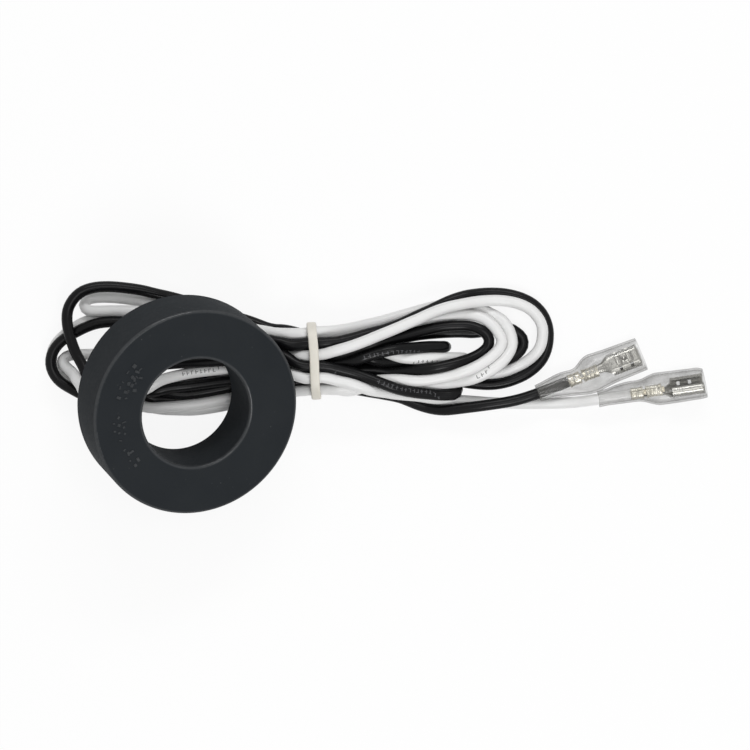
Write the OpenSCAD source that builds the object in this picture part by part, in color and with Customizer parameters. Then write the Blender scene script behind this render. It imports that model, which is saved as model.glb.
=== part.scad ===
// Ring-type current transformer: a potted toroid in a moulded case, lying tipped on its own folded leads.
// Both leads are folded together into one hank, held by a band, and end in sleeved receptacle terminals.
// The origin is the middle of the ring's hole. +Z is up from the surface that the leads lie on.

/* [Ring] */
// Outside diameter of the moulded case
case_od = 53; // [50:0.5:56]
// Diameter of the hole for the primary conductor
bore_d = 28; // [26:0.5:29]
// Height of the case along its axis
case_h = 15; // [14:0.5:18]
// Thickness of the case's walls
case_wall = 1.6; // [1.4:0.1:1.8]
// Rounding of the front outer edge
outer_round = 1; // [0.4:0.1:1.4]
// Rounding of the front edge of the hole
bore_round = 0.6; // [0.2:0.1:1]
// Depth of the potting below the case's open rim
potting_recess = 0.6; // [0.2:0.1:1]
// Lean of the ring's axis from upright, in degrees
lean = 26.5; // [24:0.5:30]
// Direction that the front of the ring faces, in degrees from +X
lean_azimuth = -38.5; // [-45:0.5:-30]
// Height of the ring's lowest edge, which rests on the leads, above the surface
lift = 3; // [2.5:0.1:3.5]

/* [Core and winding] */
// Radial gap between the bore wall and the wound core
core_gap = 0.3; // [0.2:0.1:0.4]
// Height of the wound core with its tape
pack_h = 10.8; // [9:0.2:10.8]
// Thickness of the tape round the winding
outer_tape_t = 0.3; // [0.2:0.05:0.4]
// Thickness of the copper winding
winding_t = 0.8; // [0.5:0.1:1]
// Thickness of the tape round the core
core_tape_t = 0.25; // [0.2:0.05:0.4]

/* [Leads] */
// Outside diameter of a lead's insulation
lead_d = 2.9; // [2.8:0.1:3]
// Diameter of a lead's stranded conductor
conductor_d = 1.3; // [1.1:0.1:1.4]
// Where the black lead leaves the potting, in degrees round the ring
black_exit_angle = 236; // [230:1:240]
// Where the white lead leaves the potting, in degrees round the ring
white_exit_angle = 222; // [216:1:226]
// Depth of the leads' ends in the potting
lead_seat = 4; // [3:0.5:5]
// Length of the soldered splices in the potting
splice_l = 6; // [4:0.5:6.5]

/* [Hank] */
// Height of the hank of folded leads
hank_h = 13; // [12:0.5:14]
// Width of the hank inside the band
waist_w = 17.6; // [16:0.2:18.4]
// Width of the band along the hank
band_w = 2.4; // [2:0.1:3]
// Thickness of the band
band_t = 1.1; // [0.8:0.1:1.4]

/* [Terminals] */
// Outside width of the receptacle
receptacle_w = 5.9; // [5.6:0.1:6.4]
// Outside height of the receptacle
receptacle_h = 3.1; // [2.8:0.1:3.3]
// Length of the receptacle
receptacle_l = 7.9; // [7:0.1:9]
// Thickness of the terminal's sheet
sheet_t = 0.4; // [0.3:0.05:0.5]
// Outside diameter of the crimped barrels
barrel_d = 2.9; // [2.6:0.1:3]

/* [Sleeves] */
// Length of a terminal sleeve
sleeve_l = 28.3; // [28:0.1:30]
// Outside width of the sleeve's flat end
sleeve_w = 8.8; // [8.2:0.1:9.4]
// Thickness of the sleeve's wall
sleeve_wall = 0.5; // [0.4:0.05:0.6]
// Outside diameter of the sleeve's round end
sleeve_tail_d = 4.3; // [4.2:0.1:4.6]

/* [Hidden] */
$fn = 96;

eps = 0.01;
case_r = case_od / 2;
bore_r = bore_d / 2;
table_z = -(case_r * sin(lean) + case_h / 2 * cos(lean) + lift);
cavity_in_r = bore_r + case_wall;
cavity_out_r = case_r - case_wall;
cavity_top = case_h - case_wall - 0.2;
pack_in_r = cavity_in_r + core_gap;
pack_out_r = cavity_out_r - lead_d - 0.1;
pack_z = cavity_top - pack_h - 0.2;
pack_round = 1.2;
exit_r = cavity_out_r - lead_d / 2 - 0.05;
seat_z = potting_recess + lead_seat;
splice_d = 1.8;
splice_sleeve_d = 2.4;

// Stations along a terminal and its sleeve, from the sleeve's round end
insulation_end = 8.3;
rear_barrel = [8.5, 11.5];
front_barrel = [12.5, 16.3];
receptacle_x = sleeve_l - 0.3 - receptacle_l;
taper = [10.5, 16.5];

// Ends of the two leads: place of the sleeve's round end above the surface, and its roll, pitch and yaw
black_end = [88.7, 2.7, 4.1];
black_turn = [22, 2.3, 20.9];
white_end = [104.2, 1.2, 3.7];
white_turn = [137, 0, 8.7];

// The band round the hank's waist
band_at = [31.5, 11, 0];
band_yaw = 3;
waist_h = hank_h - band_t;
waist_round = 4.5;

// Round ends of the hank's outline, each [x, y, radius]
right_lobe = [[31.5, 11, 8.8], [79.6, 17.1, 12.8], [65.5, 2, 3.2]];
left_lobe = [[31.5, 11, 8.8], [-4, 3.4, 6.2], [-28.1, 11.2, 9.2], [-25.1, 25.2, 3.4]];

// Routes of the leads outside the hank, with heights above the surface
black_start_route = [
    [-25.3, -1.5, 14.9], [-25.9, 3.5, 10.6], [-27.1, 8.8, 8], [-29.2, 14.2, 7], [-30.6, 20, 6],
    [-29.9, 26, 4], [-25.6, 29.6, 2.6], [-19.5, 30, 1.8], [-13.5, 29.4, 1.6], [-7.7, 28.2, 1.6],
    [-1.8, 26.8, 1.6], [4, 25.2, 1.6], [9.7, 23.6, 1.6], [15, 22, 1.6]
];
white_start_route = [[-25.7, 0.6, 19.6], [-26.8, 2.2, 16.2], [-28.3, 4, 13], [-29.8, 5.6, 9.5]];
black_tail_route = [[63.5, -0.8, 4.1], [69, -0.9, 4.2], [75, -0.5, 4.5], [80.5, 0.3, 4.6], [84.5, 1.3, 4.4]];
white_tail_route = [
    [66, 0.7, 1.5], [72.5, 0.6, 1.5], [79, 0.2, 1.5], [86, 0, 1.5], [93, 0.2, 1.8], [99, 0.7, 2.9]
];

function unit(v) = v / norm(v);

// A point given by its angle, radius and height on the ring, in the object's frame
function ring_point(angle, r, z) =
    let (
        px = r * cos(angle), py = r * sin(angle), pz = z - case_h / 2,
        tx = px * cos(lean) + pz * sin(lean), tz = pz * cos(lean) - px * sin(lean)
    ) [
        tx * cos(lean_azimuth) - py * sin(lean_azimuth),
        tx * sin(lean_azimuth) + py * cos(lean_azimuth),
        tz
    ];

// Points whose heights are above the surface, in the object's frame
function laid(points) = [for (p = points) p + [0, 0, table_z]];

// A point on the axis of a sleeve that ends one lead, above the surface
function sleeve_point(end, turn, x) =
    end + x * [cos(turn[1]) * cos(turn[2]), cos(turn[1]) * sin(turn[2]), -sin(turn[1])];

module in_ring() {
    rotate([0, lean, lean_azimuth]) translate([0, 0, -case_h / 2]) children();
}

module on_surface() {
    translate([0, 0, table_z]) children();
}

module at_end(end, turn) {
    on_surface() translate(end) rotate(turn) children();
}

// A cord of eight sides through the points of its route
module cord(route) {
    sides = 8;
    count = len(route);
    tangents = [for (i = [0 : count - 1]) unit(route[min(i + 1, count - 1)] - route[max(i - 1, 0)])];
    rings = [
        for (i = [0 : count - 1])
            let (side = unit(cross([0.3, 0.2, 1], tangents[i])), top = cross(tangents[i], side))
                for (j = [0 : sides - 1])
                    route[i] + lead_d / 2 * (cos(j * 360 / sides) * side + sin(j * 360 / sides) * top)
    ];
    walls = [
        for (i = [0 : count - 2], j = [0 : sides - 1])
            let (k = (j + 1) % sides) each [
                [i * sides + j, (i + 1) * sides + j, (i + 1) * sides + k],
                [i * sides + j, (i + 1) * sides + k, i * sides + k]
            ]
    ];
    first = [for (j = [0 : sides - 1]) j];
    last = [for (j = [sides - 1 : -1 : 0]) (count - 1) * sides + j];
    polyhedron(rings, concat([first], walls, [last]));
}

// A rectangle with round corners, centred on the origin
module round_rect(w, h, r) {
    square([w - 2 * r, h], center = true);
    square([w, h - 2 * r], center = true);
    for (x = [-1, 1], y = [-1, 1])
        translate([x * (w / 2 - r), y * (h / 2 - r)]) circle(r);
}

// The winding pack's section, taken in by a distance from its outside
module pack_section(inset) {
    w = pack_out_r - pack_in_r - 2 * inset;
    h = pack_h - 2 * inset;
    translate([(pack_in_r + pack_out_r) / 2, pack_z + pack_h / 2])
        round_rect(w, h, max(pack_round - inset, 0.2));
}

// One closed layer of the pack, between two insets
module pack_layer(outside, inside) {
    rotate_extrude() difference() {
        pack_section(outside);
        pack_section(inside);
    }
}

// Section of the moulded cup: two walls and the closed front
module case_section() {
    difference() {
        union() {
            translate([bore_r, 0]) square([case_r - bore_r, case_h - outer_round]);
            translate([bore_r + bore_round, 0])
                square([case_r - bore_r - bore_round - outer_round, case_h]);
            translate([case_r - outer_round, case_h - outer_round]) circle(outer_round);
            translate([bore_r + bore_round, case_h - bore_round]) circle(bore_round);
            translate([bore_r, 0]) square([2 * bore_round, case_h - bore_round]);
        }
        translate([bore_r - eps, case_h - bore_round]) square([eps, bore_round]);
        translate([cavity_in_r, -eps]) square([cavity_out_r - cavity_in_r, cavity_top + eps]);
    }
}

module case() {
    color([0.17, 0.18, 0.19]) in_ring() rotate_extrude($fn = 180) case_section();
}

module potting() {
    color([0.12, 0.12, 0.13]) difference() {
        in_ring() difference() {
            rotate_extrude()
                translate([cavity_in_r, potting_recess])
                    square([cavity_out_r - cavity_in_r, cavity_top - potting_recess]);
            rotate_extrude() pack_section(0);
            for (angle = [black_exit_angle, white_exit_angle]) splice_sleeve_space(angle);
        }
        lead_start_solid(black_exit_angle, black_start_route);
        lead_start_solid(white_exit_angle, white_start_route);
    }
}

module core() {
    color([0.45, 0.46, 0.48]) in_ring()
        rotate_extrude() pack_section(outer_tape_t + winding_t + core_tape_t);
}

module core_tape() {
    color([0.85, 0.80, 0.62]) in_ring()
        pack_layer(outer_tape_t + winding_t, outer_tape_t + winding_t + core_tape_t);
}

module secondary_winding() {
    color([0.72, 0.38, 0.18]) in_ring() pack_layer(outer_tape_t, outer_tape_t + winding_t);
}

module winding_tape() {
    color([0.90, 0.78, 0.30]) in_ring() pack_layer(0, outer_tape_t);
}

module splice_space(angle, d) {
    rotate([0, 0, angle]) translate([exit_r, 0, seat_z]) cylinder(h = splice_l, d = d, $fn = 32);
}

module splice_sleeve_space(angle) {
    splice_space(angle, splice_sleeve_d);
}

module splice(angle) {
    color([0.78, 0.78, 0.76]) in_ring() splice_space(angle, splice_d);
}

module splice_sleeve(angle) {
    color([0.15, 0.15, 0.15]) in_ring() difference() {
        splice_sleeve_space(angle);
        translate([0, 0, -eps]) splice_space(angle, splice_d);
        translate([0, 0, eps]) splice_space(angle, splice_d);
    }
}

// A lead from its seat in the potting to its seat in the hank
module lead_start_solid(angle, route) {
    cord(concat([ring_point(angle, exit_r, seat_z), ring_point(angle, exit_r, 0)], laid(route)));
}

// A lead from the hank to the end of its insulation inside the sleeve
module lead_tail_solid(route, end, turn) {
    cord(laid(concat(route, [for (x = [0, insulation_end]) sleeve_point(end, turn, x)])));
}

module hank_lobe(ends) {
    on_surface() linear_extrude(hank_h) hull()
        for (e = ends) translate([e[0], e[1]]) circle(e[2], $fn = 32);
}

module at_band() {
    on_surface() translate(band_at) rotate([0, 0, band_yaw]) children();
}

// A bar along the hank with the section of the waist
module waist_bar(w, h, z, length, r) {
    translate([-length / 2, 0, z + h / 2]) rotate([90, 0, 90]) linear_extrude(length) round_rect(w, h, r);
}

module lead_hank() {
    color([0.35, 0.35, 0.36]) difference() {
        union() {
            hank_lobe(right_lobe);
            hank_lobe(left_lobe);
        }
        at_band() difference() {
            translate([-band_w / 2, -waist_w, -eps]) cube([band_w, 2 * waist_w, hank_h + 2 * eps]);
            waist_bar(waist_w, waist_h, band_t, 2 * band_w, waist_round);
        }
        in_ring() cylinder(h = 2 * case_h, r = case_r, $fn = 180);
        lead_start_solid(black_exit_angle, black_start_route);
        lead_start_solid(white_exit_angle, white_start_route);
        lead_tail_solid(black_tail_route, black_end, black_turn);
        lead_tail_solid(white_tail_route, white_end, white_turn);
    }
}

module tie_band() {
    color([0.88, 0.86, 0.80]) at_band() difference() {
        waist_bar(waist_w + 2 * band_t, waist_h + 2 * band_t, 0, band_w, waist_round + band_t);
        waist_bar(waist_w, waist_h, band_t, 2 * band_w, waist_round);
    }
}

// Section of the receptacle: a flat floor, outside up, with both edges rolled under it and a gap between them
module receptacle_section() {
    roll_r = receptacle_h / 2;
    flat = receptacle_w / 2 - roll_r;
    gap = 2.4;
    translate([-flat, roll_r - sheet_t]) square([2 * flat, sheet_t]);
    for (side = [-1, 1]) difference() {
        translate([side * flat, 0]) circle(roll_r, $fn = 48);
        translate([side * flat, 0]) circle(roll_r - sheet_t, $fn = 48);
        translate([side > 0 ? flat - roll_r : -flat, 0]) square(roll_r);
        translate([-gap / 2, -roll_r]) square([gap, roll_r + eps]);
    }
}

module receptacle() {
    slit_w = 0.8;
    slit_x = [1.7, 4.7];
    notch_l = 1.5;
    difference() {
        rotate([90, 0, 90]) linear_extrude(receptacle_l) receptacle_section();
        for (x = slit_x) {
            for (side = [-1, 1])
                translate([x, side * (receptacle_w / 2 - notch_l / 2) - notch_l / 2, receptacle_h / 2 - 0.9])
                    cube([slit_w, notch_l, 1]);
            translate([x, -receptacle_w / 2, receptacle_h / 2 - 0.12])
                cube([slit_w, receptacle_w, 1]);
        }
        translate([(slit_x[0] + slit_x[1] + slit_w) / 2, 0, receptacle_h / 2 + 0.35])
            sphere(d = 1.4, $fn = 32);
    }
}

// The stepped, tapered plate between the front barrel and the receptacle
module neck() {
    top = barrel_d / 2;
    rise = receptacle_h / 2;
    from = front_barrel[1] - 0.5;
    to = receptacle_x + 0.5;
    bend = [front_barrel[1] + 1, receptacle_x - 1];
    intersection() {
        translate([0, receptacle_w / 2, 0]) rotate([90, 0, 0]) linear_extrude(receptacle_w)
            polygon([
                [from, top - sheet_t], [bend[0], top - sheet_t], [bend[1], rise - sheet_t], [to, rise - sheet_t],
                [to, rise], [bend[1], rise], [bend[0], top], [from, top]
            ]);
        linear_extrude(receptacle_h)
            polygon([
                [from, -0.8], [bend[0], -1], [bend[1], -receptacle_w / 2 + 1.2], [to, -receptacle_w / 2 + 1.2],
                [to, receptacle_w / 2 - 1.2], [bend[1], receptacle_w / 2 - 1.2], [bend[0], 1], [from, 0.8]
            ]);
    }
}

// A crimped barrel: its two wings meet in a seam and press into the strands
module barrel(ends, grooves) {
    rotate([90, 0, 90]) translate([0, 0, ends[0]]) difference() {
        cylinder(h = ends[1] - ends[0], d = barrel_d, $fn = 48);
        translate([0, 0, -eps]) cylinder(h = ends[1] - ends[0] + 2 * eps, d = conductor_d, $fn = 48);
        translate([0, -barrel_d / 2 - 0.25, -eps]) rotate([0, 0, 45])
            translate([-0.3, -0.3, 0]) cube([0.6, 0.6, ends[1] - ends[0] + 2 * eps]);
        for (i = [1 : grooves]) translate([0, 0, i * (ends[1] - ends[0]) / (grooves + 1)])
            rotate_extrude($fn = 48) translate([barrel_d / 2, 0]) circle(0.12, $fn = 16);
    }
}

module terminal(end, turn) {
    color([0.80, 0.78, 0.70]) at_end(end, turn) {
        translate([receptacle_x, 0, 0]) receptacle();
        neck();
        barrel(rear_barrel, 1);
        barrel(front_barrel, 3);
        translate([rear_barrel[0], -0.6, barrel_d / 2 - sheet_t])
            cube([front_barrel[1] - rear_barrel[0], 1.2, sheet_t - 0.05]);
    }
}

module conductor(end, turn) {
    color([0.85, 0.70, 0.45]) at_end(end, turn)
        translate([insulation_end, 0, 0]) rotate([0, 90, 0])
            cylinder(h = front_barrel[1] + 0.7 - insulation_end, d = conductor_d, $fn = 48);
}

module sleeve_flat_section(inset) {
    h = receptacle_h + 2 * sleeve_wall - 2 * inset;
    round_rect(sleeve_w - 2 * inset, h, h / 2 - eps);
}

// The sleeve's round end, shoulder and flat end as one solid, taken in by a distance
module sleeve_form(inset, over) {
    rotate([90, 0, 90]) {
        translate([0, 0, -over]) cylinder(h = taper[0] + over, d = sleeve_tail_d - 2 * inset);
        hull() {
            translate([0, 0, taper[0] - eps]) cylinder(h = eps, d = sleeve_tail_d - 2 * inset);
            translate([0, 0, taper[1]]) linear_extrude(eps) sleeve_flat_section(inset);
        }
        translate([0, 0, taper[1]])
            linear_extrude(sleeve_l - taper[1] + over) sleeve_flat_section(inset);
    }
}

module terminal_sleeve(end, turn) {
    color([0.80, 0.82, 0.82, 0.5]) at_end(end, turn) difference() {
        sleeve_form(0, 0, $fn = 32);
        sleeve_form(sleeve_wall, 1, $fn = 32);
    }
}

module black_splice() { splice(black_exit_angle); }
module white_splice() { splice(white_exit_angle); }
module black_splice_sleeve() { splice_sleeve(black_exit_angle); }
module white_splice_sleeve() { splice_sleeve(white_exit_angle); }
module black_lead_start() { color([0.06, 0.06, 0.07]) lead_start_solid(black_exit_angle, black_start_route); }
module white_lead_start() { color([0.93, 0.93, 0.92]) lead_start_solid(white_exit_angle, white_start_route); }
module black_lead_tail() { color([0.06, 0.06, 0.07]) lead_tail_solid(black_tail_route, black_end, black_turn); }
module white_lead_tail() { color([0.93, 0.93, 0.92]) lead_tail_solid(white_tail_route, white_end, white_turn); }
module black_conductor() { conductor(black_end, black_turn); }
module white_conductor() { conductor(white_end, white_turn); }
module black_terminal() { terminal(black_end, black_turn); }
module white_terminal() { terminal(white_end, white_turn); }
module black_terminal_sleeve() { terminal_sleeve(black_end, black_turn); }
module white_terminal_sleeve() { terminal_sleeve(white_end, white_turn); }

case();
potting();
core();
core_tape();
secondary_winding();
winding_tape();
black_splice();
white_splice();
black_splice_sleeve();
white_splice_sleeve();
black_lead_start();
white_lead_start();
lead_hank();
tie_band();
black_lead_tail();
white_lead_tail();
black_conductor();
white_conductor();
black_terminal();
white_terminal();
black_terminal_sleeve();
white_terminal_sleeve();
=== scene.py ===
# A ring current transformer on its folded leads: the looks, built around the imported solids
import math
import bmesh
import bpy
import numpy as np
from mathutils import Matrix, Vector


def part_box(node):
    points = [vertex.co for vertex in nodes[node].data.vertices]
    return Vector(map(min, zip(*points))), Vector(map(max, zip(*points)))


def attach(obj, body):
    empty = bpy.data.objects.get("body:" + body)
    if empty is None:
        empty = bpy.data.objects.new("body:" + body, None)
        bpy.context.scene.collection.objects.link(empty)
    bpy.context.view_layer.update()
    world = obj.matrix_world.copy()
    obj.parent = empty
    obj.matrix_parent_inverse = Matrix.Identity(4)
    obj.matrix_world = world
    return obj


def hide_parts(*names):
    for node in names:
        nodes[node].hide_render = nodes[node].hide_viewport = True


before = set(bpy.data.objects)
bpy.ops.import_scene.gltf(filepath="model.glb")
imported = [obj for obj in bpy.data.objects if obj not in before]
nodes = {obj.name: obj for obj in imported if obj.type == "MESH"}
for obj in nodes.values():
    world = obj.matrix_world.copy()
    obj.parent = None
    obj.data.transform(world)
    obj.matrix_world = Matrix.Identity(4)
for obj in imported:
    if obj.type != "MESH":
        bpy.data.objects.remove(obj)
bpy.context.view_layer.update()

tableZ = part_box("lead_hank")[0][2]          # the surface that the leads lie on
print("frame loaded, surface at %.2f mm" % (tableZ * 1000))


# helpers for objects and node trees
def addObject(name, data):
    made = bpy.data.objects.new(name, data)
    bpy.context.scene.collection.objects.link(made)
    return made


def mendNormals(mesh, merge=0):
    # turns the faces outward, after points closer than merge are made one
    shape = bmesh.new()
    shape.from_mesh(mesh)
    if merge:
        bmesh.ops.remove_doubles(shape, verts=shape.verts, dist=merge)
    bmesh.ops.recalc_face_normals(shape, faces=shape.faces)
    shape.to_mesh(mesh)
    shape.free()


def setInputs(tree, node, inputs):
    # a node or a socket is linked, anything else is set on the input itself
    for key, value in inputs.items():
        if isinstance(value, bpy.types.Node):
            value = value.outputs[0]
        if isinstance(value, bpy.types.NodeSocket):
            tree.links.new(value, node.inputs[key])
        else:
            node.inputs[key].default_value = value
    return node


def addNode(tree, kind, inputs=None, **settings):
    made = tree.nodes.new(kind)
    for name, value in settings.items():
        setattr(made, name, value)
    return setInputs(tree, made, inputs or {})


def maths(tree, kind, first, second=0.0):
    return addNode(tree, "ShaderNodeMath", {0: first, 1: second}, operation=kind)


def spread(tree, value, low=0.0, high=1.0, toLow=0.0, toHigh=1.0, **settings):
    ends = {"From Min": low, "From Max": high, "To Min": toLow, "To Max": toHigh}
    return addNode(tree, "ShaderNodeMapRange", {"Value": value, **ends}, **settings)


def blendColours(tree, share, first, second):
    mix = addNode(tree, "ShaderNodeMix", {0: share, 6: first, 7: second}, data_type="RGBA")
    return mix.outputs[2]


def objectPlace(tree):
    return addNode(tree, "ShaderNodeTexCoord").outputs["Object"]


def addNoise(tree, scale, detail, rough=0.5):
    return addNode(tree, "ShaderNodeTexNoise", {
        "Vector": objectPlace(tree), "Scale": scale, "Detail": detail, "Roughness": rough})


def emptyTree(owner):
    owner.use_nodes = True
    owner.node_tree.nodes.clear()
    return owner.node_tree


# camera, floor and light
studio = {
    "camera": (0.0470, 0.0074, 0.83146),
    "lens": 159.12,
    "ambient": 0.36,
    "floorSize": 2.4,
    "floorDrop": 0.0001,                    # from the leads' undersides
    "floorColour": (0.95, 0.95, 0.95, 1),
    "shadow": 0.12,                         # how much of the floor's shadow shows
    "lamps": {                              # place, aim, size, watts
        "overhead": ((0.27, 0.06, 1.23), (0.03, 0.01, 0), (0.5, 0.6), 3.0),
        "key": ((0.1, 0.78, 0.6), (0.02, 0.01, 0), (0.6, 0.16), 3.0),
        "front": ((0.2, -0.58, 0.78), (0.01, 0.0, 0), (0.3, 0.3), 3.4),
    },
}


def addCamera():
    data = bpy.data.cameras.new("camera")
    data.sensor_width = 36
    data.lens = studio["lens"]
    data.clip_start, data.clip_end = 0.01, 20
    camera = addObject("camera", data)
    camera.location = studio["camera"]
    bpy.context.scene.camera = camera


def addLamp(name, place, aim, size, watts):
    data = bpy.data.lights.new(name, "AREA")
    data.shape = "RECTANGLE"
    data.size, data.size_y = size
    data.energy = watts
    lamp = addObject(name, data)
    lamp.location = place
    lamp.rotation_euler = (Vector(aim) - Vector(place)).to_track_quat("-Z", "Y").to_euler()


def seenPlainly(tree):
    # 1 for rays that look straight at a surface, or see it in gloss or through glass
    path = addNode(tree, "ShaderNodeLightPath")
    direct = maths(tree, "MAXIMUM", path.outputs["Is Camera Ray"], path.outputs["Is Glossy Ray"])
    return maths(tree, "MAXIMUM", direct, path.outputs["Is Transmission Ray"])


def addWorld():
    world = bpy.data.worlds.new("studio")
    tree = emptyTree(world)
    strength = spread(tree, seenPlainly(tree), toLow=studio["ambient"])
    light = addNode(tree, "ShaderNodeBackground", {"Color": (1, 1, 1, 1), "Strength": strength})
    addNode(tree, "ShaderNodeOutputWorld", {"Surface": light})
    bpy.context.scene.world = world


def addFloor():
    half, z = studio["floorSize"] / 2, tableZ - studio["floorDrop"]
    mesh = bpy.data.meshes.new("floor")
    corners = [(-half, -half, z), (half, -half, z), (half, half, z), (-half, half, z)]
    mesh.from_pydata(corners, [], [(0, 1, 2, 3)])
    material = bpy.data.materials.new("paleFloor")
    tree = emptyTree(material)
    share = maths(tree, "MULTIPLY", seenPlainly(tree), 1 - studio["shadow"])
    matt = addNode(tree, "ShaderNodeBsdfDiffuse", {"Color": studio["floorColour"]})
    white = addNode(tree, "ShaderNodeEmission", {"Color": (1, 1, 1, 1), "Strength": 1.0})
    mixed = addNode(tree, "ShaderNodeMixShader", {0: share, 1: matt, 2: white})
    addNode(tree, "ShaderNodeOutputMaterial", {"Surface": mixed})
    mesh.materials.append(material)
    addObject("floor", mesh)


bpy.context.scene.view_settings.view_transform = "Standard"
addCamera()
addWorld()
addFloor()
for lampName, lampValues in studio["lamps"].items():
    addLamp(lampName, *lampValues)
print("camera, floor and lamps are set")

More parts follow.
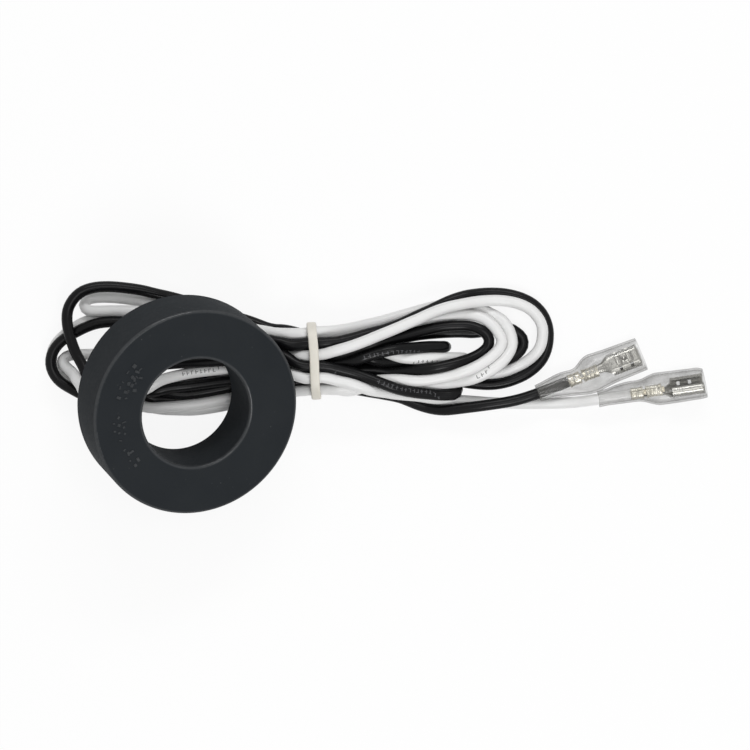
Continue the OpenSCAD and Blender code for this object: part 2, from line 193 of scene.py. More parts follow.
# the folded leads
# Every fold is a list of points (x, y, height above the surface) in mm,
# out from the band and back to it.
folds = {
    "outerBlackLow": [(39.3, 18, 5), (45.7, 17.3, 4), (49.5, 16.9, 3), (53.4, 16.9, 2.5),
        (58.5, 17.7, 2), (63.7, 18.2, 1.5), (68.8, 18.4, 1.5), (72.7, 18.3, 1.5), (76.2, 19, 1.5),
        (79, 19.7, 1.5), (81.4, 19.4, 1.5), (83.2, 18.2, 1.5), (84.5, 16.6, 1.5), (84.6, 14.8, 2),
        (83.4, 12.8, 3.5), (81.3, 11.1, 4.4), (79, 10, 4.4), (76.4, 8.9, 4.2), (72.6, 8.3, 3),
        (67.5, 8.7, 2), (61.1, 9.7, 1.5), (53.4, 11.3, 1.5), (45.7, 12.5, 2.5), (39.3, 12.7, 4)],
    "outerBlackTop": [(36.8, 15.6, 11), (40.6, 16.4, 10.5), (44.5, 17.4, 10), (48.3, 18.5, 9.5),
        (53.4, 20.4, 8.5), (57.2, 22.2, 7.5), (61, 23.9, 6.5), (64.9, 25.6, 5.5), (68.8, 27, 4.6),
        (72.6, 28, 3.5), (76.5, 28.4, 2.5), (80.4, 28.2, 1.8), (84.2, 27.2, 1.5), (87.6, 25.5, 1.5),
        (90.2, 22.8, 1.5), (91.3, 19.7, 1.5), (91.4, 16.9, 1.5), (90.9, 14.3, 1.5),
        (89.6, 11.5, 1.5), (87.3, 9.1, 1.5), (84.2, 7.3, 1.5), (80.4, 6, 1.5), (76.5, 5.5, 1.5),
        (72.7, 5.6, 1.5), (67.5, 6.1, 1.5), (61.1, 6.9, 1.5), (53.4, 7.9, 1.5), (45.7, 8.9, 1.6),
        (39.3, 9.6, 2.2)],
    "innerBlack": [(36.8, 12.2, 9.5), (40.6, 13.1, 9), (45.7, 14.7, 8.5), (49.5, 15.9, 8),
        (53.4, 17.1, 7.5), (58.5, 18.6, 6.8), (63.6, 19.7, 6), (67.5, 20, 5.5), (71.3, 19.9, 4.8),
        (74.1, 18.9, 4.2), (75.9, 17.4, 4), (76.3, 15.6, 4), (75.2, 13.8, 4.3), (72.6, 12.1, 4.8),
        (69.2, 10.9, 5.2), (65.7, 9.8, 5.6), (61.6, 9, 6), (57.2, 8.5, 6.3), (52.9, 8.4, 6.5),
        (48.3, 8.7, 6.5), (43.2, 8.7, 6.2), (38.6, 7.9, 5.8)],
    "tightBlack": [(36.8, 11, 9), (41.1, 12.1, 9), (45.7, 12.9, 8.6), (49.5, 13.4, 8.2),
        (53.4, 13.8, 7.8), (57.2, 14.2, 7.3), (61, 14.5, 6.8), (63.6, 14.6, 6), (65.1, 14.6, 4.2),
        (63.7, 14.5, 2.3), (61.1, 14.3, 1.5), (56, 13.9, 1.5), (50.9, 13.3, 1.6), (44.4, 11.9, 2.5),
        (39.3, 10.5, 4.5)],
    "frontBlack": [(36.8, 9.1, 10.8), (40.6, 8, 10), (44.5, 6.8, 9), (48.3, 5.6, 7.8),
        (53.4, 4.2, 6.4), (58.5, 2.9, 5.2), (63.6, 2.4, 4.6), (67.2, 2.7, 4.4), (68.5, 3.4, 3),
        (67.1, 3.9, 1.7), (63.7, 4.2, 1.5), (58.6, 4.8, 1.5), (53.4, 5.4, 1.7), (48.3, 6, 3),
        (43.2, 6.5, 5), (39.3, 6.7, 7)],
    "outerWhiteLow": [(36.8, 18.6, 8), (40.6, 19.3, 7.5), (44.4, 20.2, 7), (48.3, 21.1, 6.3),
        (52.1, 22.2, 5.6), (56, 23.3, 5), (59.8, 24.4, 4.2), (63.7, 25.3, 3.2), (67.5, 25.9, 2),
        (70.6, 25.7, 1.5), (73.5, 24.7, 1.5), (76.2, 23.2, 2.8), (78.7, 21.4, 4.2),
        (80.5, 19.3, 4.3), (81.7, 17, 3), (81.7, 14.7, 1.6), (80.6, 12.7, 1.5), (78.8, 10.9, 2.5),
        (76.4, 9.1, 4.3), (73.9, 7.7, 4.5), (71.3, 6.6, 4.5), (68.8, 5.9, 4.5), (66.2, 5.4, 4.4),
        (63.1, 5.1, 4.2), (59.8, 5.1, 3.8), (54.7, 5.3, 3.4), (49.6, 5.5, 3.2), (44.4, 5.1, 3.5),
        (39.3, 4.2, 4.5)],
    "outerWhiteTop": [(36.8, 13.4, 11.4), (40.7, 14.5, 11.3), (43.7, 15.7, 11.2), (47, 17.1, 11),
        (50.8, 18.6, 10.6), (53.4, 19.7, 10.2), (55.9, 20.8, 9.8), (58.5, 21.9, 9.4), (61, 23.1, 9),
        (63.6, 24.2, 8.5), (66.1, 25, 8), (70, 25.8, 7), (73.8, 26.3, 6.2), (77.7, 26.5, 5.4),
        (81, 26.3, 4.8), (84.1, 25.6, 4.4), (86.7, 24.3, 4.3), (88.7, 22.2, 4.3), (89.9, 19.7, 4.2),
        (90, 17, 4.2), (89.5, 14.4, 3.8), (88, 12.3, 3), (85.8, 10.6, 2), (83, 9.5, 1.5),
        (79.1, 8.4, 1.5), (74, 7.7, 1.5), (67.5, 7.8, 1.5), (59.8, 8.8, 1.5), (52.1, 10.2, 1.5),
        (44.4, 11.5, 1.7), (39.3, 12, 2.2)],
    "innerWhite": [(36.8, 13.8, 8.2), (41.1, 14.4, 8.2), (46.2, 15.8, 8), (51.3, 17.7, 7.6),
        (55.9, 19.6, 7), (61, 21.6, 6.3), (64.9, 22.5, 5.8), (68.7, 22.9, 5.4), (72.6, 22.6, 5),
        (75.7, 21.5, 4.8), (78, 19.8, 4.5), (79.3, 17.6, 4.5), (79.5, 15.6, 4.8), (78.7, 13.5, 5.4),
        (76.9, 11.6, 6), (73.8, 9.7, 6.4), (70, 8.3, 6.4), (66.2, 7.2, 6.3), (62.3, 6.5, 6.2),
        (58.5, 6.2, 6.2), (53.9, 6, 6), (49.6, 5.6, 5.8), (44.4, 5.1, 6), (39.3, 5, 7)],
    "tightWhite": [(39.3, 14.8, 4.5), (45.7, 13.5, 4), (53.4, 11.5, 4.2), (57.2, 11.3, 4.3),
        (61.1, 11.4, 4.4), (64.9, 11.5, 4.4), (68.3, 11.6, 4), (70.1, 11.6, 2.9), (68.3, 11.5, 1.7),
        (65, 11.3, 1.5), (59.8, 11, 1.5), (53.4, 11.8, 1.5), (45.7, 13.8, 1.6), (39.3, 15.1, 2.2)],
    "backWhite": [(25.3, 17.7, 8), (20.2, 18, 7.8), (13.9, 18.7, 7.8), (4.9, 20.5, 8),
        (-5.2, 22.4, 8.5), (-12.8, 23.6, 8.8), (-19.2, 23.8, 8.8), (-23.8, 23.8, 8.5),
        (-26.4, 24.2, 7.6), (-27.2, 25.4, 6), (-26.5, 26.6, 4.6), (-24, 27.2, 3.8),
        (-19.6, 27.2, 3.5), (-14.5, 26.6, 3.4), (-9.4, 25.5, 3.4), (-0.4, 23.2, 3.4),
        (9.9, 20.2, 3.8), (18.9, 17.6, 5), (25.3, 16.6, 7)],
    "leftBlack": [(25.4, 14.4, 10.3), (20.3, 14.9, 9), (13.9, 15.9, 8.5), (2.4, 18.1, 8),
        (-7.8, 19.9, 7.8), (-15.5, 20.9, 7.8), (-20.1, 21.1, 7.8), (-23.9, 20.7, 8),
        (-26.7, 19.8, 8), (-29.2, 18.6, 7.8), (-31.6, 17.3, 7.4), (-33.4, 16, 7), (-35, 14.2, 6.5),
        (-35.9, 12.1, 6), (-36, 10, 5.8), (-35.2, 7.7, 5.8), (-33.5, 5.7, 5.8), (-30.9, 4.3, 5.8),
        (-28.4, 3.2, 5.8), (-24.6, 2.4, 5.6), (-19.5, 2.3, 5.2), (-14.4, 3.2, 4.8),
        (-10.6, 4.1, 4.8), (-6.7, 4.4, 5), (-2.9, 4.5, 5), (2.2, 4.9, 5), (8.6, 5.7, 5),
        (16.3, 6.2, 5), (22.7, 6.4, 6.5)],
    "leftWhite": [(25.3, 12.8, 8), (18.9, 13.8, 6), (8.6, 16.4, 5), (-2.9, 19.2, 4.8),
        (-13.1, 21.5, 4.7), (-20.3, 22.4, 4.6), (-24.1, 22, 4.6), (-27.5, 21.1, 4.6),
        (-30, 19.7, 4.6), (-32.2, 18.2, 4.5), (-33.8, 16.7, 4.3), (-35.1, 15.1, 4),
        (-36, 12.9, 3.4), (-36, 10.9, 3), (-35.2, 8.7, 3), (-33.4, 6.7, 3), (-30.9, 5.2, 3.2),
        (-28.1, 4.2, 3.4), (-23.4, 3.4, 4), (-17, 2.8, 5), (-12.5, 2.9, 6.3), (-10.4, 3.8, 7),
        (-8.6, 5.1, 7.4), (-6.3, 6.3, 7.5), (-2.7, 7.4, 7.3), (2.3, 8.3, 7), (9.5, 8.7, 7),
        (17.1, 8.5, 6.8), (24.1, 8.1, 8.5)],
    "holeWhiteLow": [(25.2, 15.3, 4.5), (18.8, 15.2, 3.6), (9.8, 15.6, 3.5), (-1.7, 15.9, 3.6),
        (-11.9, 14.8, 3.8), (-18.3, 12.3, 3.6), (-21.2, 8.4, 3), (-21, 4.1, 2.2), (-18, 1, 1.6),
        (-12.6, -0.1, 1.5), (-6.9, -0.7, 1.5), (-0.5, -1.4, 1.5), (4.6, -1, 1.5), (10, 0, 1.5),
        (18, 1.5, 1.5), (24.7, 2.7, 3.2)],
    "holeWhiteTop": [(25.2, 12.9, 1.8), (18.7, 13.4, 1.5), (9.8, 13.8, 1.5), (-1.8, 13.3, 1.5),
        (-10.8, 11.8, 1.8), (-15.8, 8.9, 3), (-17, 5.4, 4.2), (-15.5, 2, 4.4), (-11.9, 0, 4.4),
        (-8, -0.4, 4.4), (-2.9, -0.4, 4.3), (2.2, 0.2, 4.2), (10.1, 1.5, 4.1), (18.1, 2.8, 4),
        (24.8, 3.7, 5.8)],
    "hiddenBlackA": [(24.8, 13.3, 7.5), (18.1, 14.3, 6.5), (8.7, 15.3, 7), (-1.5, 15.7, 7.6),
        (-10.4, 14.8, 8), (-15.5, 12.5, 7.8), (-17.6, 9.2, 6.8), (-16.2, 6.2, 5), (-12.2, 5.6, 3),
        (-5.7, 6.1, 1.6), (3.3, 7.1, 1.5), (13.6, 8.9, 1.6), (22.7, 11.4, 3.5)],
    "hiddenBlackB": [(24.2, 10.5, 4.6), (17.6, 11.5, 4.2), (6, 12.6, 4.2), (-4.2, 12.9, 4.6),
        (-10.6, 11.9, 4.8), (-13.7, 9.4, 4.3), (-13.5, 6.6, 3.6), (-11.2, 4.5, 3.2), (-8.1, 3.2, 3),
        (-4.3, 2.5, 2.8), (-0.4, 2.5, 2.8), (4.7, 3.4, 2.8), (10.1, 4.5, 2.8), (17, 5.5, 3),
        (23.7, 6.1, 4.4)],
    "hiddenBlackC": [(24.3, 11.1, 7.2), (18.1, 12.3, 6.6), (8.7, 13.1, 6.8), (-1.5, 13.5, 7.2),
        (-9.1, 12.8, 7), (-13.6, 10.7, 6), (-15.5, 7.7, 4.4), (-14.3, 4.6, 2.6), (-10.8, 3, 1.6),
        (-4.4, 3.3, 1.5), (3.3, 4.6, 1.5), (13.6, 6.9, 1.5), (23.1, 9.2, 1.9)],
    "hiddenBlackD": [(24.9, 11, 9.6), (18.2, 11.2, 7.8), (8.7, 11.2, 7.8), (-0.2, 11, 7.8),
        (-8.4, 10, 7.2), (-13.1, 8, 5.5), (-15.3, 5.3, 3.4), (-13.3, 2.3, 1.8), (-8.7, 1.2, 1.5),
        (-1.8, 1.5, 1.5), (4.6, 2.4, 1.5), (12.3, 4.1, 1.5), (23.1, 6.1, 1.9)],
    "blackStart": [(-27.5, 9.7, 10), (-29, 12.2, 10), (-30.2, 14.9, 10), (-31.1, 17.8, 10),
        (-31.7, 20.9, 9.8), (-31.6, 23.9, 9.5), (-30.3, 26.6, 9.2), (-28.2, 28.6, 9),
        (-25.2, 29.7, 8.8), (-21.5, 30, 8.6), (-18, 29.8, 8.4), (-12.9, 29.1, 7.6),
        (-9.1, 28.2, 6.6), (-5.3, 27.3, 5), (4.8, 24.2, 2.6), (15, 20.6, 1.5), (21.4, 18.7, 1.6),
        (25.8, 18.1, 3.6)],
    "whiteStart": [(-27.3, 5, 12), (-28.7, 6.9, 9), (-30.4, 8.3, 6.3), (-32, 9.5, 4.2),
        (-33, 10.9, 2.8), (-32.3, 12.1, 1.9), (-30.3, 12.5, 1.5), (-24.9, 12.7, 1.5),
        (-15.9, 12.8, 1.5), (-3.1, 13.8, 1.5), (9.8, 14.7, 1.5), (20, 15.4, 1.5), (25.7, 15.4, 2)],
    "blackTail": [(38, 3.9, 1.5), (41.9, 3.8, 1.5), (45.7, 3.5, 1.5), (49.6, 2.9, 1.5),
        (53.4, 1.9, 1.5), (57.3, 0.6, 1.6), (61.1, -0.5, 2.4), (65, -0.9, 3.6), (68.8, -0.8, 4.2),
        (72.6, -0.5, 4.4), (76.4, -0.1, 4.4), (80.3, 0.4, 4.4), (84.1, 1.2, 4.4)],
    "whiteTail": [(36.8, 6.2, 10), (40.6, 5.4, 8.8), (44.4, 4.4, 7.4), (48.3, 3.5, 5.8),
        (52.1, 2.7, 4.6), (56, 2.2, 3.2), (59.8, 1.9, 1.9), (63.2, 1.7, 1.5), (66.3, 1.4, 1.5),
        (69.3, 1, 1.5), (72.7, 0.6, 1.5), (76.5, 0.3, 1.5), (80.4, 0.2, 1.5), (85.5, 0.1, 1.5),
        (90.7, 0.1, 1.5), (95, 0.2, 1.7), (99.1, 0.5, 2.4)],
}

leads = {
    "diameter": 2.9,
    "exitRadius": 23.4,                     # from the ring's axis
    "seat": 4.6,                            # depth of a lead's end in the potting
    "sides": 14,
    "step": 1.1,                            # between the tube's rings
    "black": {
        "exitAngle": 236, "end": (88.7, 2.7, 4.1), "turn": (22, 2.3, 20.9), "length": 1.21,
        "printUp": [(563, 589), (1024, 1054)],      # mm from the ring, where the print faces up
        "order": ["blackStart", "1a>", "outerBlackLow", "3b<", "-hiddenBlackA", "3c>", "innerBlack",
                  "5b<", "-hiddenBlackB", "4b>", "-tightBlack", "4c<", "hiddenBlackC", "4a>",
                  "-outerBlackTop", "2d<", "leftBlack", "5c>", "-frontBlack", "4d<",
                  "hiddenBlackD", "5a>", "blackTail"],
    },
    "white": {
        "exitAngle": 222, "end": (104.2, 1.2, 3.7), "turn": (137, 0, 8.7), "length": 1.1,
        "printUp": [(134, 150), (320, 338), (976, 998)],
        "order": ["whiteStart", "2a>", "-tightWhite", "2b<", "holeWhiteLow", "6a>",
                  "-outerWhiteLow", "1b<", "backWhite", "2c>", "innerWhite", "6b<",
                  "-holeWhiteTop", "3a>", "-outerWhiteTop", "3d<", "leftWhite", "5d>", "whiteTail"],
    },
}
ring = {
    "outer": 26.5, "bore": 14.0, "half": 7.5, "lean": 26.5, "azimuth": -38.5,
    "wallMiddle": 20, "backZone": 5,        # between its walls, and below its middle
}
band = {
    "at": (31.5, 11.0), "yaw": 3.0, "width": 17.6, "height": 11.9, "round": 4.5, "thick": 1.1,
    "firstColumn": 7.25, "shiftedSlot": "1b", "slotShift": 0.6,
    "reach": 2.2,                           # a lead's points stand this far before and after it
    "hold": 2.6,                            # and are held inside it this far
    # heights of the wires on each other, in the two outer columns and in the four inner ones
    "outerStack": {"a": 5.6, "b": 8.5},
    "innerStack": {"a": 2.6, "b": 5.5, "c": 8.4, "d": 11.3},
}
settling = {
    "spacing": 2.0,                         # between the points that settle
    "rounds": 400, "calmAfter": 0.8,        # the pull is halved for the last rounds
    "pull": 0.1, "lift": 0.006, "sink": 0.02,
    "stiffness": 0.25, "upright": 0.3,      # how well a bend is kept, and its height
    "heldFirst": 5, "heldLast": 6,          # points that stay at a lead's two ends
    "look": 8, "margin": 1.2,               # rounds between searches for neighbours, and reach
    "repeats": 3, "part": 0.9, "sideways": (0.75, 0.75, 1.15), "stretch": 0.8,
    "largestPush": 0.5,
}

leanTurn = Matrix.Rotation(math.radians(ring["lean"]), 3, "Y")
ringTurn = np.array(Matrix.Rotation(math.radians(ring["azimuth"]), 3, "Z") @ leanTurn)
surfaceMm = tableZ * 1000


def ringPoint(angle, radius, height):
    a = math.radians(angle)
    return ringTurn @ np.array([radius * math.cos(a), radius * math.sin(a), height - ring["half"]])


def sleevePoint(lead, along):
    pitch, yaw = (math.radians(a) for a in lead["turn"][1:])
    flat = math.cos(pitch)
    ahead = np.array([flat * math.cos(yaw), flat * math.sin(yaw), -math.sin(pitch)])
    return np.array(lead["end"]) + [0, 0, surfaceMm] + along * ahead


def bandSlot(slot, along):
    # places in the band: six columns across it, and up to four wires on each other
    side = band["firstColumn"] - leads["diameter"] * (int(slot[0]) - 1)
    side -= band["slotShift"] if slot == band["shiftedSlot"] and along < 0 else 0
    stack = band["outerStack"] if slot[0] in "16" else band["innerStack"]
    yaw = math.radians(band["yaw"])
    return [band["at"][0] + along * math.cos(yaw) - side * math.sin(yaw),
            band["at"][1] + along * math.sin(yaw) + side * math.cos(yaw),
            stack[slot[1]] + surfaceMm]


def leadKnots(lead):
    # from the potting, through the folds and the band in turn, and into its sleeve
    exitHeights, sleevePlaces = (leads["seat"], 2.5, 0, -2.2), (0, 2.5, 5.5, 8.3)
    knots = [ringPoint(lead["exitAngle"], leads["exitRadius"], h) for h in exitHeights]
    for step in lead["order"]:
        if step[-1] in "<>":
            way = band["reach"] if step[-1] == ">" else -band["reach"]
            knots += [bandSlot(step[:2], along) for along in (-way, 0, way)]
        else:
            fold = [(x, y, h + surfaceMm) for x, y, h in folds[step.strip("-")]]
            knots += fold[::-1] if step[0] == "-" else fold
    knots += [sleevePoint(lead, along) for along in sleevePlaces]
    return np.array([list(k) for k in knots])


def lengths(vectors):
    return np.linalg.norm(vectors, axis=1)


def distanceAlong(points):
    return np.concatenate([[0], np.cumsum(lengths(np.diff(points, axis=0)))])


def ringFaces(rings, around, closed=False):
    # quads between rings of points that follow each other
    corners = ((0, 0), (0, 1), (1, 1), (1, 0))
    return [tuple((i + di) % rings * around + (k + dk) % around for di, dk in corners)
            for i in range(rings if closed else rings - 1) for k in range(around)]


def curveThrough(knots, step):
    # a smooth curve through the knots, with its points evenly spaced
    p = np.vstack([2 * knots[0] - knots[1], knots, 2 * knots[-1] - knots[-2]])
    fineStep, pieces = 0.25, []
    for i in range(1, len(p) - 2):
        t = np.concatenate([[0], np.cumsum(np.sqrt(lengths(np.diff(p[i - 1:i + 3], axis=0))))])
        count = max(2, int(np.linalg.norm(p[i + 1] - p[i]) / fineStep))
        u = np.linspace(t[1], t[2], count, endpoint=False)[:, None]
        a = [((t[k + 1] - u) * p[i - 1 + k] + (u - t[k]) * p[i + k]) / (t[k + 1] - t[k])
             for k in range(3)]
        b = [((t[k + 2] - u) * a[k] + (u - t[k]) * a[k + 1]) / (t[k + 2] - t[k])
             for k in range(2)]
        pieces.append(((t[2] - u) * b[0] + (u - t[1]) * b[1]) / (t[2] - t[1]))
    fine = np.vstack(pieces + [p[-2][None]])
    along = distanceAlong(fine)
    places = np.linspace(0, along[-1], int(round(along[-1] / step)) + 1)
    return np.column_stack([np.interp(places, along, fine[:, k]) for k in range(3)])


def findNeighbours(x, owner, reach, skip):
    # pairs of points of different wires, or of one wire far enough along it
    first, second, block = [], [], 400
    for start in range(0, len(x), block):
        apart = ((x[start:start + block, None, :] - x[None, :, :]) ** 2).sum(2)
        i, j = np.nonzero(apart < reach ** 2)
        i = i + start
        keep = (j > i) & ((owner[i] != owner[j]) | (j - i > skip))
        first.append(i[keep])
        second.append(j[keep])
    return np.concatenate(first), np.concatenate(second)


def keepOffRing(x, free, radius):
    # the leads lie under the ring's back face or beside its walls
    q = x @ ringTurn
    out = np.hypot(q[:, 0], q[:, 1])
    across = np.maximum(ring["bore"] - out, out - ring["outer"])
    above = np.abs(q[:, 2]) - ring["half"]
    outside = np.hypot(np.maximum(across, 0), np.maximum(above, 0))
    gap = np.where((across < 0) & (above < 0), np.maximum(across, above), outside)
    for i in np.nonzero((gap < radius) & free)[0]:
        outward = q[i, :2] / out[i] * (1 if out[i] > ring["wallMiddle"] else -1)
        atBack = q[i, 2] < -ring["backZone"]
        if atBack and across[i] > 0:
            push = np.array([*(outward * across[i]), min(0, q[i, 2] + ring["half"])])
            push = push / max(np.linalg.norm(push), 1e-6) * (radius - gap[i])
        elif atBack or across[i] < 0:
            push = np.array([0, 0, -(q[i, 2] + ring["half"] + radius)])
        else:
            push = np.array([*(outward * (radius - gap[i])), 0])
        length = np.linalg.norm(push)
        x[i] += ringTurn @ (push * min(1, settling["largestPush"] / max(length, 1e-6)))


def keepInBand(x, radius):
    turn = math.radians(band["yaw"])
    east, north = x[:, 0] - band["at"][0], x[:, 1] - band["at"][1]
    along = east * math.cos(turn) + north * math.sin(turn)
    side = north * math.cos(turn) - east * math.sin(turn)
    inside = np.nonzero(np.abs(along) < band["hold"])[0]
    up = x[inside, 2] - surfaceMm - band["thick"] - band["height"] / 2
    place = np.column_stack([side[inside], up])
    corner = np.array([band["width"] / 2 - band["round"], band["height"] / 2 - band["round"]])
    near = np.clip(place, -corner, corner)
    away = place - near
    length = lengths(away)
    limit = band["round"] - radius
    kept = np.where(length > limit, limit / np.maximum(length, 1e-6), 1)
    moved = near + away * kept[:, None] - place
    x[inside, 0] -= moved[:, 0] * math.sin(turn)
    x[inside, 1] += moved[:, 0] * math.cos(turn)
    x[inside, 2] += moved[:, 1]


def shareOf(weight, i, j):
    both = weight[i] + weight[j]
    both[both == 0] = 1
    return both


def pushApart(x, first, second, weight):
    # wires that overlap move apart, mostly over each other
    diameter = leads["diameter"]
    gap = x[second] - x[first]
    apart = lengths(gap)
    close = apart < diameter
    i, j = first[close], second[close]
    push = gap[close] / np.maximum(apart[close], 1e-6)[:, None]
    push = push * (diameter - apart[close])[:, None] / shareOf(weight, i, j)[:, None]
    push *= settling["sideways"]
    moved, count = np.zeros_like(x), np.zeros(len(x))
    np.add.at(moved, i, -push * weight[i][:, None])
    np.add.at(moved, j, push * weight[j][:, None])
    np.add.at(count, i, 1)
    np.add.at(count, j, 1)
    return x + settling["part"] * moved / np.sqrt(np.maximum(count, 1))[:, None]


def settle(curves):
    # lets the wires sink on the surface and on each other, each close to its own route
    rules, diameter, radius = settling, leads["diameter"], leads["diameter"] / 2
    x = np.vstack(curves)
    ends = np.cumsum([0] + [len(c) for c in curves])
    spans = list(zip(ends[:-1], ends[1:]))
    owner = np.repeat(np.arange(len(curves)), [len(c) for c in curves])
    home = x.copy()
    weight = np.ones(len(x))
    for start, end in spans:
        weight[start:start + rules["heldFirst"]] = 0
        weight[end - rules["heldLast"]:end] = 0
    free = weight > 0
    links = np.concatenate([np.arange(start, end - 1) for start, end in spans])
    rest = lengths(home[links + 1] - home[links])
    inner = np.concatenate([np.arange(start + 1, end - 1) for start, end in spans])
    bend = home[inner] - 0.5 * (home[inner - 1] + home[inner + 1])
    bend[:, 2] *= rules["upright"]
    skip = int(math.ceil(diameter / rules["spacing"])) + 1
    for turn in range(rules["rounds"]):
        if turn % rules["look"] == 0:
            first, second = findNeighbours(x, owner, diameter + rules["margin"], skip)
        pull = 1 if turn < rules["calmAfter"] * rules["rounds"] else 0.5
        x[free, :2] += rules["pull"] * pull * (home[free, :2] - x[free, :2])
        x[free, 2] += rules["lift"] * pull * (home[free, 2] - x[free, 2]) - rules["sink"]
        now = x[inner] - 0.5 * (x[inner - 1] + x[inner + 1])
        x[inner] += rules["stiffness"] * (bend - now) * weight[inner][:, None]
        for again in range(rules["repeats"]):
            x = pushApart(x, first, second, weight)
            for part in (0, 1):
                s = links[part::2]
                stretch = x[s + 1] - x[s]
                length = lengths(stretch)
                fix = ((length - rest[part::2]) / length)[:, None] * stretch
                both = shareOf(weight, s, s + 1)
                x[s] += rules["stretch"] * fix * (weight[s] / both)[:, None]
                x[s + 1] -= rules["stretch"] * fix * (weight[s + 1] / both)[:, None]
            x[free, 2] = np.maximum(x[free, 2], surfaceMm + radius)
            keepOffRing(x, free, radius)
            keepInBand(x, radius)
    return [x[start:end] for start, end in spans]


def printRoll(along, printUp):
    # the printed side is turned up between each pair of places in printUp, and down elsewhere
    up, blend = np.zeros(len(along)), 6
    for start, end in printUp:
        up = np.maximum(up, np.clip(np.minimum(along - start, end - along) / blend + 0.5, 0, 1))
    return 0.5 - 0.5 * up


def tubeMesh(name, path, printUp):
    # a round tube along the path, with the way along it and the way round it as its UV map
    radius, sides, count = leads["diameter"] / 2, leads["sides"], len(path)
    ahead = np.gradient(path, axis=0)
    ahead /= lengths(ahead)[:, None]
    side = np.zeros_like(path)
    side[0] = np.cross(ahead[0], [0, 0, 1])
    for i in range(1, count):
        side[i] = side[i - 1] - ahead[i] * side[i - 1].dot(ahead[i])
        side[i] /= np.linalg.norm(side[i])
    top = np.cross(side, ahead)
    # the printed side stays near the top and rolls slowly
    up, calm = np.array([0, 0, 1]) - ahead * ahead[:, 2:3], 20
    lift = np.unwrap(np.arctan2((up * side).sum(1), (up * top).sum(1)))
    evenly = np.ones(2 * calm + 1) / (2 * calm + 1)
    lift = np.convolve(np.pad(lift, calm, mode="edge"), evenly, mode="valid")
    verts = []
    for k in range(sides):
        a = lift + 2 * math.pi * k / sides
        verts.append(path + radius * (np.cos(a)[:, None] * top + np.sin(a)[:, None] * side))
    verts = np.stack(verts, axis=1).reshape(-1, 3)
    faces = ringFaces(count, sides)
    faces += [tuple(range(sides))[::-1], tuple((count - 1) * sides + k for k in range(sides))]
    mesh = bpy.data.meshes.new(name)
    mesh.from_pydata((verts * 0.001).tolist(), [], faces)
    along = distanceAlong(path)
    roll = printRoll(along, printUp)
    values = np.array([(along[i + di] * 0.1, (k + dk) / sides + roll[i + di])
                       for i in range(count - 1) for k in range(sides)
                       for di, dk in ((0, 0), (0, 1), (1, 1), (1, 0))])
    uv = mesh.uv_layers.new(name="alongLead")
    ending = np.tile((0, 0.5), (2 * sides, 1))      # the two ends carry no print
    uv.data.foreach_set("uv", np.vstack([values, ending]).ravel())
    mesh.polygons.foreach_set("use_smooth", [len(p.vertices) == 4 for p in mesh.polygons])
    mendNormals(mesh)
    return addObject(name, mesh)


colours = ("black", "white")
curves = [curveThrough(leadKnots(leads[colour]), settling["spacing"]) for colour in colours]
cords, paths = {}, {}
for colour, curve in zip(colours, settle(curves)):
    paths[colour] = curveThrough(curve, leads["step"])
    cords[colour] = tubeMesh(colour + "Lead", paths[colour], leads[colour]["printUp"])
    print("%s lead laid, %.0f mm long" % (colour, lengths(np.diff(paths[colour], axis=0)).sum()))

# shared effects
def makeGroup(name, inputs, *outputs):
    group = bpy.data.node_groups.new(name, "ShaderNodeTree")
    for label, value in inputs.items():
        kind = "NodeSocketFloat" if isinstance(value, float) else "NodeSocketColor"
        socket = group.interface.new_socket(label, in_out="INPUT", socket_type=kind)
        socket.default_value = value
    for label in outputs:
        kind = "NodeSocketColor" if label == "Color" else "NodeSocketFloat"
        group.interface.new_socket(label, in_out="OUTPUT", socket_type=kind)
    return group, addNode(group, "NodeGroupInput"), addNode(group, "NodeGroupOutput")


def makeGrain():
    # a moulded grain: a value for roughness and the same value as a height
    group, given, put = makeGroup(
        "mouldedGrain", {"Scale": 900.0, "Low": 0.45, "High": 0.6}, "Roughness", "Height")
    fine = addNoise(group, given.outputs["Scale"], 3.0, 0.6)
    both = maths(group, "ADD", fine, addNoise(group, 60.0, 2.0))
    value = spread(group, maths(group, "MULTIPLY", both, 0.5), 0.35, 0.65,
                   given.outputs["Low"], given.outputs["High"])
    setInputs(group, put, {"Roughness": value, "Height": fine})
    return group


def makeDrift():
    # slow change between two colours over the surface
    group, given, put = makeGroup(
        "colourDrift", {"First": (1, 1, 1, 1), "Second": (1, 1, 1, 1), "Scale": 80.0}, "Color")
    amount = spread(group, addNoise(group, given.outputs["Scale"], 4.0), 0.3, 0.7)
    colour = blendColours(group, amount, given.outputs["First"], given.outputs["Second"])
    setInputs(group, put, {"Color": colour})
    return group


def makeDust():
    # specks and lint: a mask that is nearly nothing, with a few small spots
    group, given, put = makeGroup("dustSpecks", {"Scale": 700.0, "Amount": 0.3}, "Mask")
    spots = addNode(group, "ShaderNodeTexVoronoi", {
        "Vector": objectPlace(group), "Scale": given.outputs["Scale"]})
    near = spread(group, spots.outputs["Distance"], 0.05, 0.16, 1.0, 0.0)
    patch = spread(group, addNoise(group, 130.0, 2.0), 0.55, 0.7)
    mask = maths(group, "MULTIPLY", near, patch)
    setInputs(group, put, {"Mask": maths(group, "MULTIPLY", mask, given.outputs["Amount"])})
    return group


